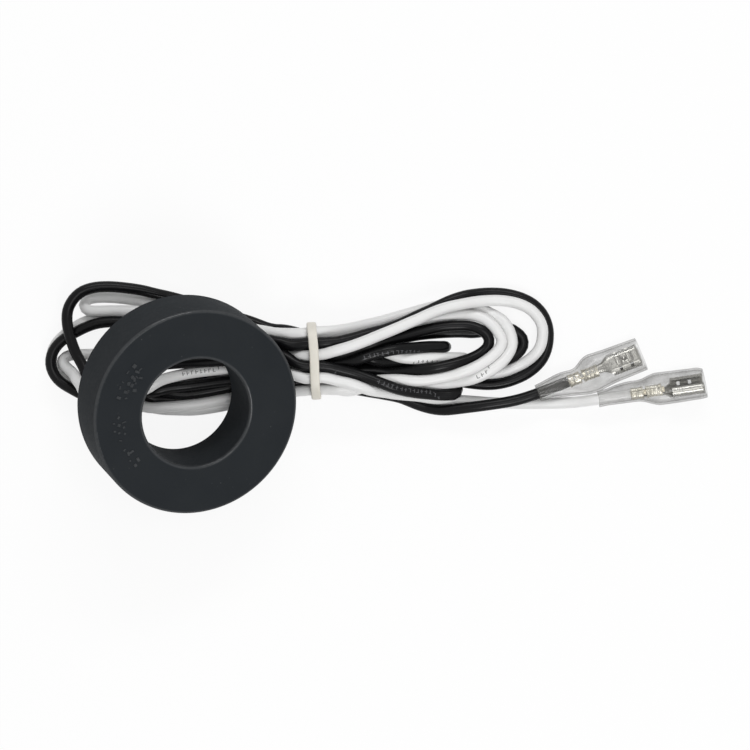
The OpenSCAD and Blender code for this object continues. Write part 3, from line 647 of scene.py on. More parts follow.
def makePrint():
    # lengths of small unreadable ticks along one side of a lead, read from its UV map
    group, given, put = makeGroup("printTicks", {"Pitch": 8.6, "Height": 0.055}, "Mask")
    uv = addNode(group, "ShaderNodeUVMap", uv_map="alongLead")
    parts = addNode(group, "ShaderNodeSeparateXYZ", {0: uv})

    def count(kind, first, second=0.0):
        return maths(group, kind, first, second)

    def chance(value, seed):
        return addNode(group, "ShaderNodeTexWhiteNoise", {"W": count("ADD", value, seed)},
                       noise_dimensions="1D").outputs["Value"]

    def near(value, middle, reach):
        away = count("ABSOLUTE", count("SUBTRACT", value, middle))
        return count("LESS_THAN", away, reach)

    along = count("MULTIPLY", parts.outputs["X"], given.outputs["Pitch"])
    cell = count("FLOOR", along)
    inCell = count("FRACT", along)
    # the row goes from -1 at one edge of the print to 1 at the other
    around = count("FRACT", parts.outputs["Y"])
    fromTop = count("SUBTRACT", 0.5, count("ABSOLUTE", count("SUBTRACT", around, 0.5)))
    level = count("DIVIDE", fromTop, given.outputs["Height"])
    onTop = count("LESS_THAN", around, 0.5)
    row = count("MULTIPLY", level, count("SUBTRACT", count("MULTIPLY", onTop, 2.0), 1.0))
    # each cell holds a thin upright and a short dash on one of three rows
    place = count("ADD", count("MULTIPLY", chance(cell, 3.0), 0.3), 0.15)
    upright = near(inCell, place, 0.1)
    third = count("ROUND", count("MULTIPLY", chance(cell, 17.0), 2.0))
    dashRow = count("SUBTRACT", count("MULTIPLY", third, 0.8), 0.8)
    dash = count("MULTIPLY", near(row, dashRow, 0.2), near(inCell, 0.42, 0.3))
    inside = count("LESS_THAN", count("ABSOLUTE", row), 1.0)
    mark = count("MULTIPLY", count("MAXIMUM", upright, dash), inside)
    # the marks come in groups
    word = count("FLOOR", count("MULTIPLY", cell, 0.21))
    grouped = count("GREATER_THAN", chance(word, 5.0), 0.3)
    setInputs(group, put, {"Mask": count("MULTIPLY", mark, grouped)})
    return group


grainGroup, driftGroup, dustGroup, printGroup = makeGrain(), makeDrift(), makeDust(), makePrint()


# materials
def startMaterial(name, plain):
    material = bpy.data.materials.new(name)
    tree = emptyTree(material)
    shader = addNode(tree, "ShaderNodeBsdfPrincipled", plain)
    addNode(tree, "ShaderNodeOutputMaterial", {"Surface": shader})
    return material, tree, shader


def addGroup(tree, group, inputs):
    return setInputs(tree, addNode(tree, "ShaderNodeGroup", node_tree=group), inputs)


def addDrift(tree, first, second, scale):
    inputs = {"First": (*first, 1), "Second": (*second, 1), "Scale": scale}
    return addGroup(tree, driftGroup, inputs)


def addBump(tree, shader, height, strength, depth):
    inputs = {"Height": height, "Strength": strength, "Distance": depth}
    setInputs(tree, shader, {"Normal": addNode(tree, "ShaderNodeBump", inputs)})


def addSurface(tree, shader, colour, grain, gloss, bump, depth):
    # gloss is the lowest and the highest roughness
    surface = addGroup(tree, grainGroup, {"Scale": grain, "Low": gloss[0], "High": gloss[1]})
    setInputs(tree, shader, {"Base Color": colour, "Roughness": surface.outputs["Roughness"]})
    addBump(tree, shader, surface.outputs["Height"], bump, depth)
    return surface


def mouldedPlastic(name, first, second, gloss, grain=900.0, bump=0.25, plain=None, dust=0.25):
    material, tree, shader = startMaterial(name, {"IOR": 1.5, **(plain or {})})
    specks = addGroup(tree, dustGroup, {"Amount": dust})
    drift = addDrift(tree, first, second, 90.0)
    colour = blendColours(tree, specks, drift, (0.5, 0.5, 0.48, 1))
    addSurface(tree, shader, colour, grain, gloss, bump, 0.00008)
    return material


def metalFinish(name, first, second, gloss, grain=900.0, bump=0.06):
    material, tree, shader = startMaterial(name, {"Metallic": 1.0})
    addSurface(tree, shader, addDrift(tree, first, second, 300.0), grain, gloss, bump, 0.00005)
    return material


def wireInsulation(name, first, second, ink, gloss, shine):
    material, tree, shader = startMaterial(name, {"IOR": 1.5, "Specular IOR Level": shine})
    drift = addDrift(tree, first, second, 60.0)
    colour = blendColours(tree, addGroup(tree, printGroup, {}), drift, (*ink, 1))
    addSurface(tree, shader, colour, 420.0, gloss, 0.06, 0.00005)
    return material


caseLooks = {
    "first": (0.0185, 0.0215, 0.0245), "second": (0.0225, 0.0255, 0.0285),
    "roughness": (0.62, 0.76), "shine": 0.05,
    "dust": 0.12, "dustColour": (0.4, 0.4, 0.39, 1),
    "edge": (0.05, 0.053, 0.056, 1),        # painted highlight: the front edges' colour, lighter than the body
    "edgeWidth": 0.0009,
    "edgeCoat": 0.4, "edgeRoughness": 0.16,
}


def ringPlace(tree):
    # a point's distance from the ring's axis and its height along it
    place, axis = objectPlace(tree), tuple(float(v) for v in ringTurn[:, 2])

    def vectors(kind, inputs):
        return addNode(tree, "ShaderNodeVectorMath", inputs, operation=kind)

    height = vectors("DOT_PRODUCT", {0: place, 1: axis}).outputs["Value"]
    stem = vectors("SCALE", {0: axis, "Scale": height})
    across = vectors("SUBTRACT", {0: place, 1: stem})
    return vectors("LENGTH", {0: across}).outputs["Value"], height


def casePlastic():
    material, tree, shader = startMaterial("casePlastic", {
        "IOR": 1.5, "Specular IOR Level": caseLooks["shine"],
        "Coat Roughness": caseLooks["edgeRoughness"], "Coat IOR": 1.5})
    out, height = ringPlace(tree)
    corner = addNode(tree, "ShaderNodeCombineXYZ", {"X": out, "Y": height})

    def nearEdge(radius):
        places = {0: corner, 1: (radius * 0.001, ring["half"] * 0.001, 0)}
        apart = addNode(tree, "ShaderNodeVectorMath", places, operation="DISTANCE")
        width = caseLooks["edgeWidth"]
        return spread(tree, apart.outputs["Value"], width * 0.5, width, 1.0, 0.0,
                      interpolation_type="SMOOTHSTEP")

    edge = maths(tree, "MAXIMUM", nearEdge(ring["outer"]), nearEdge(ring["bore"]))
    drift = addDrift(tree, caseLooks["first"], caseLooks["second"], 70.0)
    specks = addGroup(tree, dustGroup, {"Amount": caseLooks["dust"]})
    dusty = blendColours(tree, specks, drift, caseLooks["dustColour"])
    surface = addSurface(tree, shader, dusty, 1100.0, caseLooks["roughness"], 0.2, 0.00008)
    # the front edges get a lighter colour as painted highlight, and a coat that is real gloss
    paintedEdgeHighlight = maths(tree, "MULTIPLY", edge, surface.outputs["Height"])
    setInputs(tree, shader, {
        "Base Color": blendColours(tree, paintedEdgeHighlight, dusty, caseLooks["edge"]),
        "Coat Weight": maths(tree, "MULTIPLY", edge, caseLooks["edgeCoat"])})
    return material


vinyl = {
    "first": (0.25, 0.245, 0.23), "second": (0.16, 0.158, 0.15), "roughness": (0.1, 0.2),
    "thin": 0.17, "dense": 0.66,            # how much it hides in its middle and at its edges
    "cloud": (-0.03, 0.06),                 # added to that here and there
}


def cloudyVinyl():
    material, tree, shader = startMaterial("cloudyVinyl", {"IOR": 1.5, "Specular IOR Level": 0.7})
    surface = addGroup(tree, grainGroup, {
        "Scale": 260.0, "Low": vinyl["roughness"][0], "High": vinyl["roughness"][1]})
    facing = addNode(tree, "ShaderNodeLayerWeight", {"Blend": 0.5}).outputs["Facing"]
    dense = spread(tree, facing, 0.25, 1.0, vinyl["thin"], vinyl["dense"])
    cloud = addNoise(tree, 240.0, 2.0)
    cloudy = spread(tree, cloud, 0.35, 0.65, *vinyl["cloud"])
    setInputs(tree, shader, {
        "Base Color": addDrift(tree, vinyl["first"], vinyl["second"], 220.0),
        "Roughness": surface.outputs["Roughness"],
        "Alpha": maths(tree, "ADD", dense, cloudy)})
    addBump(tree, shader, cloud, 0.25, 0.0003)
    return material


# two colours, the roughness, and then the size of the grain and the bump where they are its own
plastics = {
    "pottingResin": ((0.014, 0.014, 0.015), (0.02, 0.02, 0.021), (0.14, 0.26), 260.0, 0.3),
    "coreTape": ((0.72, 0.62, 0.4), (0.64, 0.54, 0.33), (0.5, 0.62), 500.0),
    "windingTape": ((0.8, 0.6, 0.14), (0.72, 0.52, 0.1), (0.3, 0.42), 400.0),
    "heatShrink": ((0.02, 0.02, 0.02), (0.028, 0.028, 0.028), (0.3, 0.42), 600.0),
    "bandRubber": ((0.78, 0.75, 0.68), (0.68, 0.65, 0.57), (0.4, 0.55), 700.0, 0.4),
    # the marks are lighter than the case as painted highlight on their facets
    "caseMarks": ((0.024, 0.027, 0.03), (0.042, 0.045, 0.048), (0.3, 0.42), 1100.0, 0.2,
                  {"Specular IOR Level": 0.15}, 0.05),
}
metals = {
    "coreSteel": ((0.4, 0.41, 0.43), (0.3, 0.31, 0.33), (0.35, 0.5)),
    "windingCopper": ((0.72, 0.3, 0.12), (0.6, 0.24, 0.1), (0.25, 0.4)),
    "solder": ((0.7, 0.7, 0.69), (0.58, 0.58, 0.57), (0.2, 0.36)),
    "strands": ((0.8, 0.76, 0.64), (0.66, 0.6, 0.47), (0.25, 0.4)),
    "terminalMetal": ((0.42, 0.412, 0.385), (0.33, 0.324, 0.3), (0.2, 0.3), 500.0, 0.02),
    # darker than terminalMetal: painted shade on the sheet's inner faces
    "contactInside": ((0.22, 0.214, 0.19), (0.14, 0.136, 0.12), (0.42, 0.56)),
    "crimpMetal": ((0.7, 0.67, 0.58), (0.5, 0.47, 0.385), (0.26, 0.4), 600.0, 0.05),
}
# two colours, the ink, the roughness and how strongly it shines
wires = {
    "blackWire": ((0.004, 0.004, 0.0045), (0.007, 0.007, 0.0075), (0.08, 0.08, 0.085),
                  (0.2, 0.3), 0.12),
    "whiteWire": ((0.83, 0.83, 0.825), (0.77, 0.77, 0.765), (0.22, 0.22, 0.22),
                  (0.3, 0.42), 0.4),
}
looks = {"casePlastic": casePlastic(), "cloudyVinyl": cloudyVinyl()}
for maker, table in ((mouldedPlastic, plastics), (metalFinish, metals), (wireInsulation, wires)):
    for finish, values in table.items():
        looks[finish] = maker(finish, *values)

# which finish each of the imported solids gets
finishes = {
    "casePlastic": ["case"],
    "pottingResin": ["potting"],
    "coreSteel": ["core"],
    "coreTape": ["core_tape"],
    "windingCopper": ["secondary_winding"],
    "windingTape": ["winding_tape"],
    "solder": ["black_splice", "white_splice"],
    "heatShrink": ["black_splice_sleeve", "white_splice_sleeve"],
    "bandRubber": ["tie_band"],
    "strands": ["black_conductor", "white_conductor"],
    "terminalMetal": ["black_terminal", "white_terminal"],
    "cloudyVinyl": ["black_terminal_sleeve", "white_terminal_sleeve"],
}
for finish, names in finishes.items():
    for name in names:
        mesh = nodes[name].data
        if not mesh.materials:
            mesh.materials.append(looks[finish])
        for i in range(len(mesh.materials)):
            mesh.materials[i] = looks[finish]
for colour, tube in cords.items():
    tube.data.materials.append(looks[colour + "Wire"])
print("materials are on")

# sleeves
sleeves = {
    "wall": 0.45, "around": 48, "step": 0.4,
    "crease": 0.16, "creaseAt": 13, "creaseLength": 4.5,
    # stations: along, low edge and high edge seen from above, half height, squareness
    "black": {"roll": -20, "stations": [
        (0, -2.2, 2.22, 2.15, 2.0), (2, -2.5, 2.45, 2.15, 2.0), (4, -2.85, 2.72, 2.15, 2.0),
        (6, -3.3, 2.95, 2.12, 2.1), (8, -3.8, 2.95, 2.1, 2.2), (10, -4.3, 2.7, 2.08, 2.3),
        (11, -4.55, 2.75, 2.06, 2.4), (12, -4.8, 3.2, 2.05, 2.5), (13.5, -5.0, 4.1, 2.05, 2.6),
        (15, -5.05, 4.62, 2.05, 2.7), (17, -4.85, 4.62, 2.05, 2.8), (20, -4.55, 4.48, 2.05, 2.9),
        (24, -4.45, 4.4, 2.05, 2.9), (28.3, -4.35, 4.28, 2.05, 2.9)]},
    "white": {"roll": -36, "stations": [
        (0, -1.92, 1.9, 2.1, 2.0), (2.5, -2.0, 2.4, 2.15, 2.0), (5, -2.06, 3.0, 2.2, 2.1),
        (8.5, -2.15, 3.4, 2.2, 2.2), (10.5, -2.2, 3.3, 2.2, 2.3), (12, -2.6, 3.5, 2.2, 2.4),
        (13.5, -3.2, 3.95, 2.25, 2.6), (15, -3.7, 4.35, 2.3, 2.8), (17, -3.86, 4.4, 2.3, 2.9),
        (20, -3.88, 4.28, 2.3, 3.0), (24, -3.84, 4.15, 2.3, 3.0), (26.6, -3.8, 4.0, 2.28, 3.0),
        (27.7, -3.7, 3.6, 2.2, 2.9)]},
}


def leadFrame(lead, roll):
    # +X runs along the lead's end, in mm
    yaw, pitch, rolled = (Matrix.Rotation(math.radians(angle), 4, axis) for angle, axis in
                          ((lead["turn"][2], "Z"), (lead["turn"][1], "Y"), (roll, "X")))
    place = Matrix.Translation(Vector(lead["end"]) + Vector((0, 0, surfaceMm)))
    return place @ (yaw @ pitch @ rolled)


def smoothTable(rows, step):
    # the rows of a table, with smooth ones between them
    rows = np.array(rows, dtype=float)
    places = np.arange(rows[0, 0], rows[-1, 0] + step / 2, step)
    slopes = np.gradient(rows[:, 1:], rows[:, 0], axis=0)
    out = []
    for x in places:
        i = min(max(np.searchsorted(rows[:, 0], x) - 1, 0), len(rows) - 2)
        h = rows[i + 1, 0] - rows[i, 0]
        t = (x - rows[i, 0]) / h
        out.append((2 * t ** 3 - 3 * t ** 2 + 1) * rows[i, 1:]
                   + (t ** 3 - 2 * t ** 2 + t) * h * slopes[i]
                   + (-2 * t ** 3 + 3 * t ** 2) * rows[i + 1, 1:]
                   + (t ** 3 - t ** 2) * h * slopes[i + 1])
    return np.column_stack([places, np.array(out)])


def meshFrom(name, verts, faces):
    mesh = bpy.data.meshes.new(name)
    mesh.from_pydata([tuple(v) for v in verts], [], faces)
    mendNormals(mesh, 1e-7)
    return smoothed(addObject(name, mesh))


def smoothed(piece):
    piece.data.polygons.foreach_set("use_smooth", [True] * len(piece.data.polygons))
    return piece


def dress(piece, slotName, finish, *replaced):
    if finish:
        piece.data.materials.clear()
        piece.data.materials.append(looks[finish])
    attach(piece, "root")
    if replaced:
        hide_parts(*replaced)
    return piece


def sleeveShell(made, inset):
    place = leadFrame(leads[made], sleeves[made]["roll"])
    tilt = math.cos(math.radians(sleeves[made]["roll"]))
    verts = []
    for x, low, high, half, square in smoothTable(sleeves[made]["stations"], sleeves["step"]):
        wide = max((high - low) / 2 - half, 0) / tilt + half
        middle = (high + low) / 2 / tilt
        # soft creases run along the shoulder, deepest where it widens
        away = (x - sleeves["creaseAt"]) / sleeves["creaseLength"]
        crease = sleeves["crease"] * math.exp(-away ** 2)
        for k in range(sleeves["around"]):
            a = 2 * math.pi * k / sleeves["around"]
            c, s = math.cos(a), math.sin(a)
            y = middle + (wide - inset) * math.copysign(abs(c) ** (2 / square), c)
            z = (half - inset) * math.copysign(abs(s) ** (2 / square), s)
            z += crease * math.sin(5 * a + 0.5 * x) * (1 - abs(c) ** 6)
            y += 0.5 * crease * math.sin(3 * a - 0.4 * x)
            point = place @ Vector((x, y, z)) * 0.001
            point.z = max(point.z, tableZ + 0.00002 + inset * 0.001)    # it lies on the surface
            verts.append(point)
    return verts


def makeSleeve(colour):
    outer, inner = (sleeveShell(colour, inset) for inset in (0, sleeves["wall"]))
    around = sleeves["around"]
    count = len(outer) // around
    faces = []

    def addFace(*corners):
        faces.append(tuple((s * count + i) * around + k % around for s, i, k in corners))

    for k in range(around):
        for i in range(count - 1):
            addFace((0, i, k), (0, i, k + 1), (0, i + 1, k + 1), (0, i + 1, k))
            addFace((1, i, k), (1, i + 1, k), (1, i + 1, k + 1), (1, i, k + 1))
        addFace((0, 0, k), (1, 0, k), (1, 0, k + 1), (0, 0, k + 1))
        end = count - 1
        addFace((0, end, k), (0, end, k + 1), (1, end, k + 1), (1, end, k))
    sleeve = meshFrom(colour + "Sleeve", outer + inner, faces)
    sleeve.visible_shadow = False           # clear vinyl darkens nothing under it
    return dress(sleeve, "clear_vinyl", "cloudyVinyl", colour + "_terminal_sleeve")


# the band
tie = {"width": 2.4, "thick": 1.1, "edge": 0.42, "wave": 0.22, "slant": 0.3, "steps": 150}


def roundedBox(halfWidth, halfHeight, corner, steps):
    outline = []
    for cx, cy, start in ((1, 1, 0), (-1, 1, 90), (-1, -1, 180), (1, -1, 270)):
        for k in range(steps + 1):
            a = math.radians(start + 90 * k / steps)
            outline.append((cx * (halfWidth - corner) + corner * math.cos(a),
                            cy * (halfHeight - corner) + corner * math.sin(a)))
    return outline


def makeBand():
    # a soft closed band round the waist of the hank
    halfThick, steps = tie["thick"] / 2, tie["steps"]
    halfWidth, halfHeight = band["width"] / 2 + halfThick, band["height"] / 2 + halfThick
    outline = roundedBox(halfWidth, halfHeight, band["round"] + halfThick, 12)
    outline = np.array(outline + outline[:1])
    along = distanceAlong(outline)
    places = np.linspace(0, along[-1], steps, endpoint=False)
    path = np.column_stack([np.interp(places, along, outline[:, k]) for k in (0, 1)])
    ahead = np.roll(path, -1, axis=0) - np.roll(path, 1, axis=0)
    ahead /= lengths(ahead)[:, None]
    outward = np.column_stack([ahead[:, 1], -ahead[:, 0]])
    section = roundedBox(tie["width"] / 2, halfThick, tie["edge"], 4)
    yaw = math.radians(band["yaw"])
    verts = []
    for i, (side, height) in enumerate(path):
        wave = tie["wave"] * math.sin(side / halfWidth * 2.4 + 0.6)
        shift = wave - tie["slant"] * side / halfWidth
        for u, w in section:
            s = side + outward[i, 0] * w
            z = height + outward[i, 1] * w + band["thick"] + band["height"] / 2
            x = u + shift
            verts.append(Vector((band["at"][0] + x * math.cos(yaw) - s * math.sin(yaw),
                                 band["at"][1] + x * math.sin(yaw) + s * math.cos(yaw),
                                 z + surfaceMm)) * 0.001)
    loop = meshFrom("tieBand", verts, ringFaces(steps, len(section), closed=True))
    return dress(loop, "band_rubber", "bandRubber", "tie_band")


# crimped contacts
contacts = {
    "width": 5.9, "height": 3.1, "sheet": 0.4, "gap": 2.4, "bevel": 38,
    "slits": (1.7, 4.7), "slitWidth": 0.8, "slitDepth": 0.22, "slitSide": 1.35, "slitDown": 1.0,
    "dimple": 0.7, "dimpleDepth": 0.4,
    "flare": 0.12, "flareLength": 0.7,      # at the receptacle's mouth
    "keel": (8.5, 16.6), "keelHeight": 1.1,
    # the tapered plate behind the receptacle: along, half width, height
    "neckStart": 16.2, "neckLength": 4.2, "neckEnd": 20.1,
    "neck": [(16.2, 0.95, 1.16), (17, 1.05, 1.18), (17.8, 1.2, 1.22), (18.5, 1.55, 1.28),
             (19.1, 2.05, 1.33), (19.7, 2.5, 1.35), (20.4, 2.62, 1.35)],
    "barrels": [(8.5, 11.6, 1, 5), (12.4, 16.4, 3, 9)],     # from, to, grooves, seed
    "wide": 1.62, "tall": 1.36, "wall": 0.42, "lump": 0.035,
    "groove": 0.13, "bell": 0.12, "seam": 0.3, "seamWidth": 0.16,
    "black": {"roll": -20, "receptacle": 20.1, "length": 7.6},
    "white": {"roll": 137, "receptacle": 18.9, "length": 8.3},
}


def gridShape(shape, place, rows, keep=None):
    # a sheet of quads over rows of points, left open where keep says no
    made = [[shape.verts.new(place @ Vector(p)) for p in row] for row in rows]
    for i in range(len(rows) - 1):
        for k in range(len(rows[0]) - 1):
            around = (rows[i + a][k + b] for a in (0, 1) for b in (0, 1))
            if keep is None or keep(sum((Vector(p) for p in around), Vector()) / 4):
                shape.faces.new((made[i][k], made[i + 1][k], made[i + 1][k + 1], made[i][k + 1]))


def receptacleRows(start, length):
    slitWidth, slits = contacts["slitWidth"], contacts["slits"]
    r = (contacts["height"] - contacts["sheet"]) / 2
    flat = (contacts["width"] - contacts["height"]) / 2
    curl = math.degrees(math.acos((contacts["gap"] / 2 - flat) / r))
    turns = [math.radians(a) for a in np.linspace(90, -curl, 19)]
    side = [(flat + r * math.cos(a), r * math.sin(a)) for a in turns]
    floor = [(y, r) for y in np.linspace(-flat, flat, 17)]
    path = [(-y, z) for y, z in side[::-1]] + floor[1:-1] + side
    mouth = contacts["flareLength"]
    rows = []
    for x in np.linspace(0, length, 60):
        inSlit = max(max(0, 1 - (abs(x - s - slitWidth / 2) / slitWidth) ** 4) for s in slits)
        flare = contacts["flare"] * max(0, (x - length + mouth) / mouth) ** 2
        row = []
        for y, z in path:
            if z > 0.98 * r and abs(y) < flat:
                away = math.hypot(x - sum(slits) / 2 - slitWidth / 2, y) / contacts["dimple"]
                dimple = contacts["dimpleDepth"] * max(0, 1 - away ** 2)
                z -= contacts["slitDepth"] * inSlit + dimple
            row.append((start + x, y * (1 + flare * 0.5), z * (1 + flare)))
        rows.append(row)
    return rows


def neckRows(start):
    rows = []
    for x, half, top in contacts["neck"]:
        share = start - contacts["neckEnd"]
        x = x + share * (x - contacts["neckStart"]) / contacts["neckLength"]
        rows.append([(x, half * t, top - 0.5 * abs(t) ** 5) for t in np.linspace(-1, 1, 13)])
    return rows


def barrelShape(shape, place, start, end, grooves, seed):
    # a crimped barrel: grooved outside, its two wings meeting in a seam below
    around, steps = 40, 26
    random = np.random.default_rng(seed)
    lumps = random.uniform(-contacts["lump"], contacts["lump"], (steps, 6))
    rings = []

    def outerInset(t, a, lumpRow):
        near = [math.exp(-((t * (grooves + 1) - g) * 5) ** 2) for g in range(1, grooves + 1)]
        groove = contacts["groove"] * sum(near)
        belled = contacts["bell"] * (abs(2 * t - 1) ** 6)
        seam = contacts["seam"] * math.exp(-(((a - 1.5 * math.pi) / contacts["seamWidth"]) ** 2))
        lump = sum(lumpRow[j] * math.cos((j + 2) * a + j) for j in range(6)) * 0.5
        return seam + groove - belled - lump

    profile = [(t, True) for t in np.linspace(0, 1, steps)]
    profile += [(t, False) for t in np.linspace(1, 0, 5)]
    for n, (t, outside) in enumerate(profile):
        x = start + t * (end - start)
        loop = []
        for k in range(around):
            a = 2 * math.pi * k / around
            inset = outerInset(t, a, lumps[n]) if outside else contacts["wall"]
            y = (contacts["wide"] - inset) * math.cos(a)
            z = (contacts["tall"] - inset) * math.sin(a)
            loop.append(shape.verts.new(place @ Vector((x, y, z))))
        rings.append(loop)
    for loop, following in zip(rings, rings[1:] + rings[:1]):
        for k in range(around):
            j = (k + 1) % around
            shape.faces.new((loop[k], following[k], following[j], loop[j]))


def makeContact(colour):
    made = contacts[colour]
    place = Matrix.Scale(0.001, 4) @ leadFrame(leads[colour], made["roll"])
    start, r = made["receptacle"], contacts["height"] / 2
    sheet = bmesh.new()

    def whole(middle):
        inSlit = any(s < middle.x - start < s + contacts["slitWidth"] for s in contacts["slits"])
        beside = abs(middle.y) > contacts["width"] / 2 - contacts["slitSide"]
        return not (inSlit and beside and middle.z > r - contacts["slitDown"])

    gridShape(sheet, place, receptacleRows(start, made["length"]), whole)
    gridShape(sheet, place, neckRows(start))
    gridShape(sheet, place, [[(x, y, contacts["keelHeight"]) for y in (-0.6, -0.3, 0, 0.3, 0.6)]
                             for x in np.linspace(*contacts["keel"], 12)])
    mesh = bpy.data.meshes.new(colour + "Contact")
    sheet.to_mesh(mesh)
    sheet.free()
    contact = addObject(colour + "Contact", mesh)
    thick = contact.modifiers.new("sheet", "SOLIDIFY")
    thick.thickness, thick.offset = contacts["sheet"] * 0.001, 0
    thick.use_even_offset = True
    for finish in ("terminalMetal", "contactInside", "crimpMetal"):
        mesh.materials.append(looks[finish])
    thick.material_offset = 1               # the inside of the sheet is dull, and darker as painted shade
    evaluated = contact.evaluated_get(bpy.context.evaluated_depsgraph_get())
    plain = bpy.data.meshes.new_from_object(evaluated)
    contact.modifiers.remove(thick)
    shape = bmesh.new()
    shape.from_mesh(plain)
    flat = len(shape.faces)
    for barrel in contacts["barrels"]:
        barrelShape(shape, place, *barrel)
    shape.faces.ensure_lookup_table()
    for face in shape.faces[flat:]:
        face.material_index = 2
    bmesh.ops.recalc_face_normals(shape, faces=shape.faces)
    shape.to_mesh(plain)
    shape.free()
    contact.data = plain
    smoothed(contact)
    plain.set_sharp_from_angle(angle=math.radians(contacts["bevel"]))
    return dress(contact, "terminal_metal", None, colour + "_terminal")


# node trees for small repeated shapes
def startTree(name, values):
    # its inputs are named values, with a geometry before them and a material after them
    tree = bpy.data.node_groups.new(name, "GeometryNodeTree")

    def addSocket(label, kind, way="INPUT"):
        return tree.interface.new_socket(label, in_out=way, socket_type="NodeSocket" + kind)

    addSocket("Geometry", "Geometry")
    for label, value in values.items():
        addSocket(label, "Int" if isinstance(value, int) else "Float").default_value = value
    addSocket("Material", "Material")
    addSocket("Geometry", "Geometry", "OUTPUT")
    return tree, addNode(tree, "NodeGroupInput").outputs


def endTree(tree, given, placed):
    real = addNode(tree, "GeometryNodeRealizeInstances", {0: placed})
    inputs = {"Geometry": real, "Material": given["Material"]}
    addNode(tree, "NodeGroupOutput", {0: addNode(tree, "GeometryNodeSetMaterial", inputs)})
    return tree


def bakeTree(name, tree, values, place):
    # runs a node tree on an empty mesh and keeps its result as a plain mesh
    holder = addObject(name, bpy.data.meshes.new(name))
    modifier = holder.modifiers.new("made", "NODES")
    modifier.node_group = tree
    for item in tree.interface.items_tree:
        if item.item_type == "SOCKET" and item.in_out == "INPUT" and item.name in values:
            modifier[item.identifier] = values[item.name]
    seen = bpy.context.evaluated_depsgraph_get()
    plain = bpy.data.meshes.new_from_object(holder.evaluated_get(seen))
    holder.modifiers.remove(modifier)
    holder.data = plain
    plain.name = name
    plain.transform(place)
    mendNormals(plain)
    return holder


# strands in the crimps
strandBundle = {
    "inputs": {"Strands": 12, "Strand Radius": 0.00019, "Bundle Radius": 0.00062,
               "Length": 0.0095, "Turns": 1.1},
    "along": 26, "around": 7,               # points along a strand and round it
    "start": 7.6,                           # mm along the lead's end
}


def strandTree():
    tree, given = startTree("twistedStrands", strandBundle["inputs"])
    # points round the bundle, one for each strand; a helix swept along +X stands on each
    circle = addNode(tree, "GeometryNodeMeshCircle", {
        "Vertices": given["Strands"], "Radius": 0.000001})
    helix = addNode(tree, "GeometryNodeCurveSpiral", {
        "Resolution": strandBundle["along"], "Rotations": given["Turns"],
        "Start Radius": given["Bundle Radius"], "End Radius": given["Bundle Radius"],
        "Height": given["Length"]})
    profile = addNode(tree, "GeometryNodeCurvePrimitiveCircle", {
        "Resolution": strandBundle["around"], "Radius": given["Strand Radius"]})
    swept = addNode(tree, "GeometryNodeCurveToMesh", {
        "Curve": helix, "Profile Curve": profile, "Fill Caps": True})
    share = maths(tree, "DIVIDE", addNode(tree, "GeometryNodeInputIndex"), given["Strands"])
    angle = maths(tree, "MULTIPLY", share, 2 * math.pi)
    placed = addNode(tree, "GeometryNodeInstanceOnPoints", {
        "Points": circle, "Instance": swept,
        "Rotation": addNode(tree, "ShaderNodeCombineXYZ", {"Z": angle})})
    lying = addNode(tree, "GeometryNodeTransform", {
        "Geometry": placed, "Rotation": (0, math.pi / 2, 0)})
    return endTree(tree, given, lying)


def makeStrands(colour, tree):
    place = Matrix.Scale(0.001, 4) @ leadFrame(leads[colour], 0)
    place = place @ Matrix.Translation((strandBundle["start"], 0, 0)) @ Matrix.Scale(1000, 4)
    values = {**strandBundle["inputs"], "Material": looks["strands"]}
    strands = bakeTree(colour + "Strands", tree, values, place)
    return dress(smoothed(strands), "strands", "strands", colour + "_conductor")


# raised marks on the ring's face
marks = {
    "rows": [  # radius, first angle, last angle, how many, seed
        (17.9, 184, 196, 3, 3), (18.9, 180, 203, 6, 8), (19.9, 182, 199, 4, 12),
        (21.2, 181, 204, 5, 19), (18.7, 221, 232, 3, 21), (20.1, 219, 235, 4, 27),
        (21.1, 222, 228, 2, 31), (18.9, 246, 256, 2, 44), (20.0, 243, 258, 4, 47)],
    "shape": {"Length": 0.00075, "Width": 0.00026, "Height": 0.0002, "Scatter": 0.0004},
    "raised": 0.28,                         # of their height, above the face
    "swing": 0.5,
    "leastScale": (1.0, 0.35, 1.0), "mostScale": (4.6, 1.5, 1.0),
}


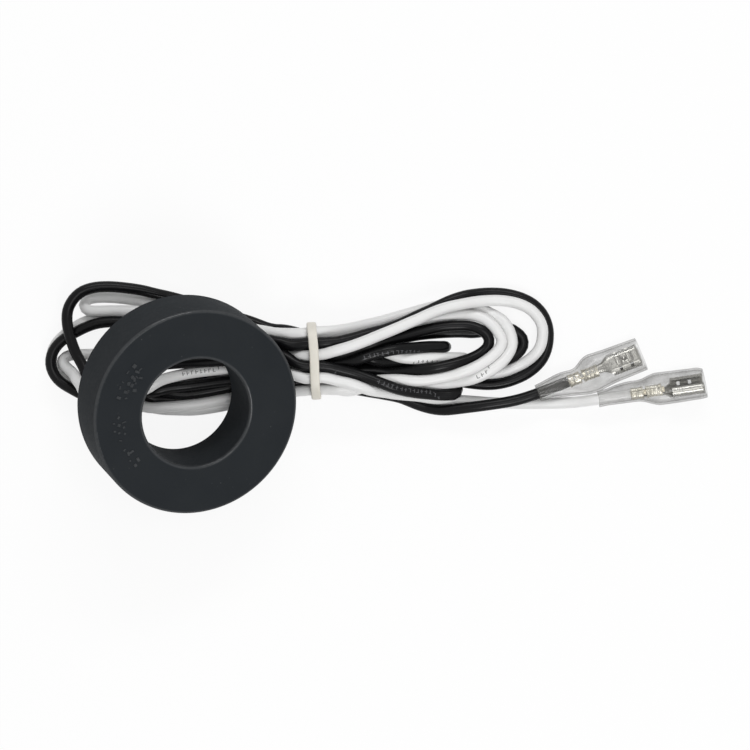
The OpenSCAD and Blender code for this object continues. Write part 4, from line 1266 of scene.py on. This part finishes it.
def markTree():
    tree, given = startTree("faceTicks", {
        "Radius": 0.02, "First Angle": 2.6, "Last Angle": 3.3, **marks["shape"],
        "Count": 12, "Seed": 1})

    def addRandom(kind, inputs):
        inputs = {**inputs, "Seed": given["Seed"]}
        return addNode(tree, "FunctionNodeRandomValue", inputs, data_type=kind)

    points = addNode(tree, "GeometryNodeMeshLine", {"Count": given["Count"]})
    last = maths(tree, "SUBTRACT", given["Count"], 1.0)
    share = maths(tree, "DIVIDE", addNode(tree, "GeometryNodeInputIndex"), last)
    angle = spread(tree, share, toLow=given["First Angle"], toHigh=given["Last Angle"])
    x, y = (maths(tree, "MULTIPLY", maths(tree, kind, angle), given["Radius"])
            for kind in ("COSINE", "SINE"))
    place = addNode(tree, "ShaderNodeCombineXYZ", {"X": x, "Y": y})
    laid = addNode(tree, "GeometryNodeSetPosition", {"Geometry": points, "Position": place})
    stray = addRandom("FLOAT_VECTOR", {0: (-1.0, -1.0, 0.0), 1: (1.0, 1.0, 0.0)})
    strayed = addNode(tree, "ShaderNodeVectorMath", {
        0: stray, "Scale": given["Scatter"]}, operation="SCALE")
    laid = addNode(tree, "GeometryNodeSetPosition", {"Geometry": laid, "Offset": strayed})
    size = addNode(tree, "ShaderNodeCombineXYZ", {
        "X": given["Width"], "Y": given["Length"], "Z": given["Height"]})
    tick = addNode(tree, "GeometryNodeMeshCube", {"Size": size})
    swing = addRandom("FLOAT", {2: -marks["swing"], 3: marks["swing"]})
    swung = maths(tree, "ADD", angle, swing.outputs[1])
    placed = addNode(tree, "GeometryNodeInstanceOnPoints", {
        "Points": laid, "Instance": tick,
        "Rotation": addNode(tree, "ShaderNodeCombineXYZ", {"Z": swung}),
        "Scale": addRandom("FLOAT_VECTOR", {0: marks["leastScale"], 1: marks["mostScale"]})})
    return endTree(tree, given, placed)


def makeMarks():
    tree = markTree()
    height = ring["half"] * 0.001 + marks["shape"]["Height"] * marks["raised"]
    front = Matrix(ringTurn.tolist()).to_4x4() @ Matrix.Translation((0, 0, height))
    for n, (radius, first, last, count, seed) in enumerate(marks["rows"]):
        values = {"Radius": radius * 0.001, "First Angle": math.radians(first),
                  "Last Angle": math.radians(last), "Count": count, "Seed": seed,
                  **marks["shape"], "Material": looks["caseMarks"]}
        ticks = bakeTree("faceTicks%d" % (n + 1), tree, values, front)
        dress(ticks, "case_plastic", "caseMarks")


terminalSleeves = {colour: makeSleeve(colour) for colour in colours}
terminalContacts = {colour: makeContact(colour) for colour in colours}
strandShapes = strandTree()
crimpStrands = {colour: makeStrands(colour, strandShapes) for colour in colours}
tieBand = makeBand()
makeMarks()
print("sleeves, contacts, strands, band and marks are made")

# the leads hang on the root in place of the imported lead solids, and the pieces on each are listed
for colour, tube in cords.items():
    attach(tube, "root")
    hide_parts(colour + "_lead_start", "lead_hank", colour + "_lead_tail")
    onLead = [terminalContacts[colour], terminalSleeves[colour], crimpStrands[colour]]
    onLead += [tieBand] if colour == "white" else []
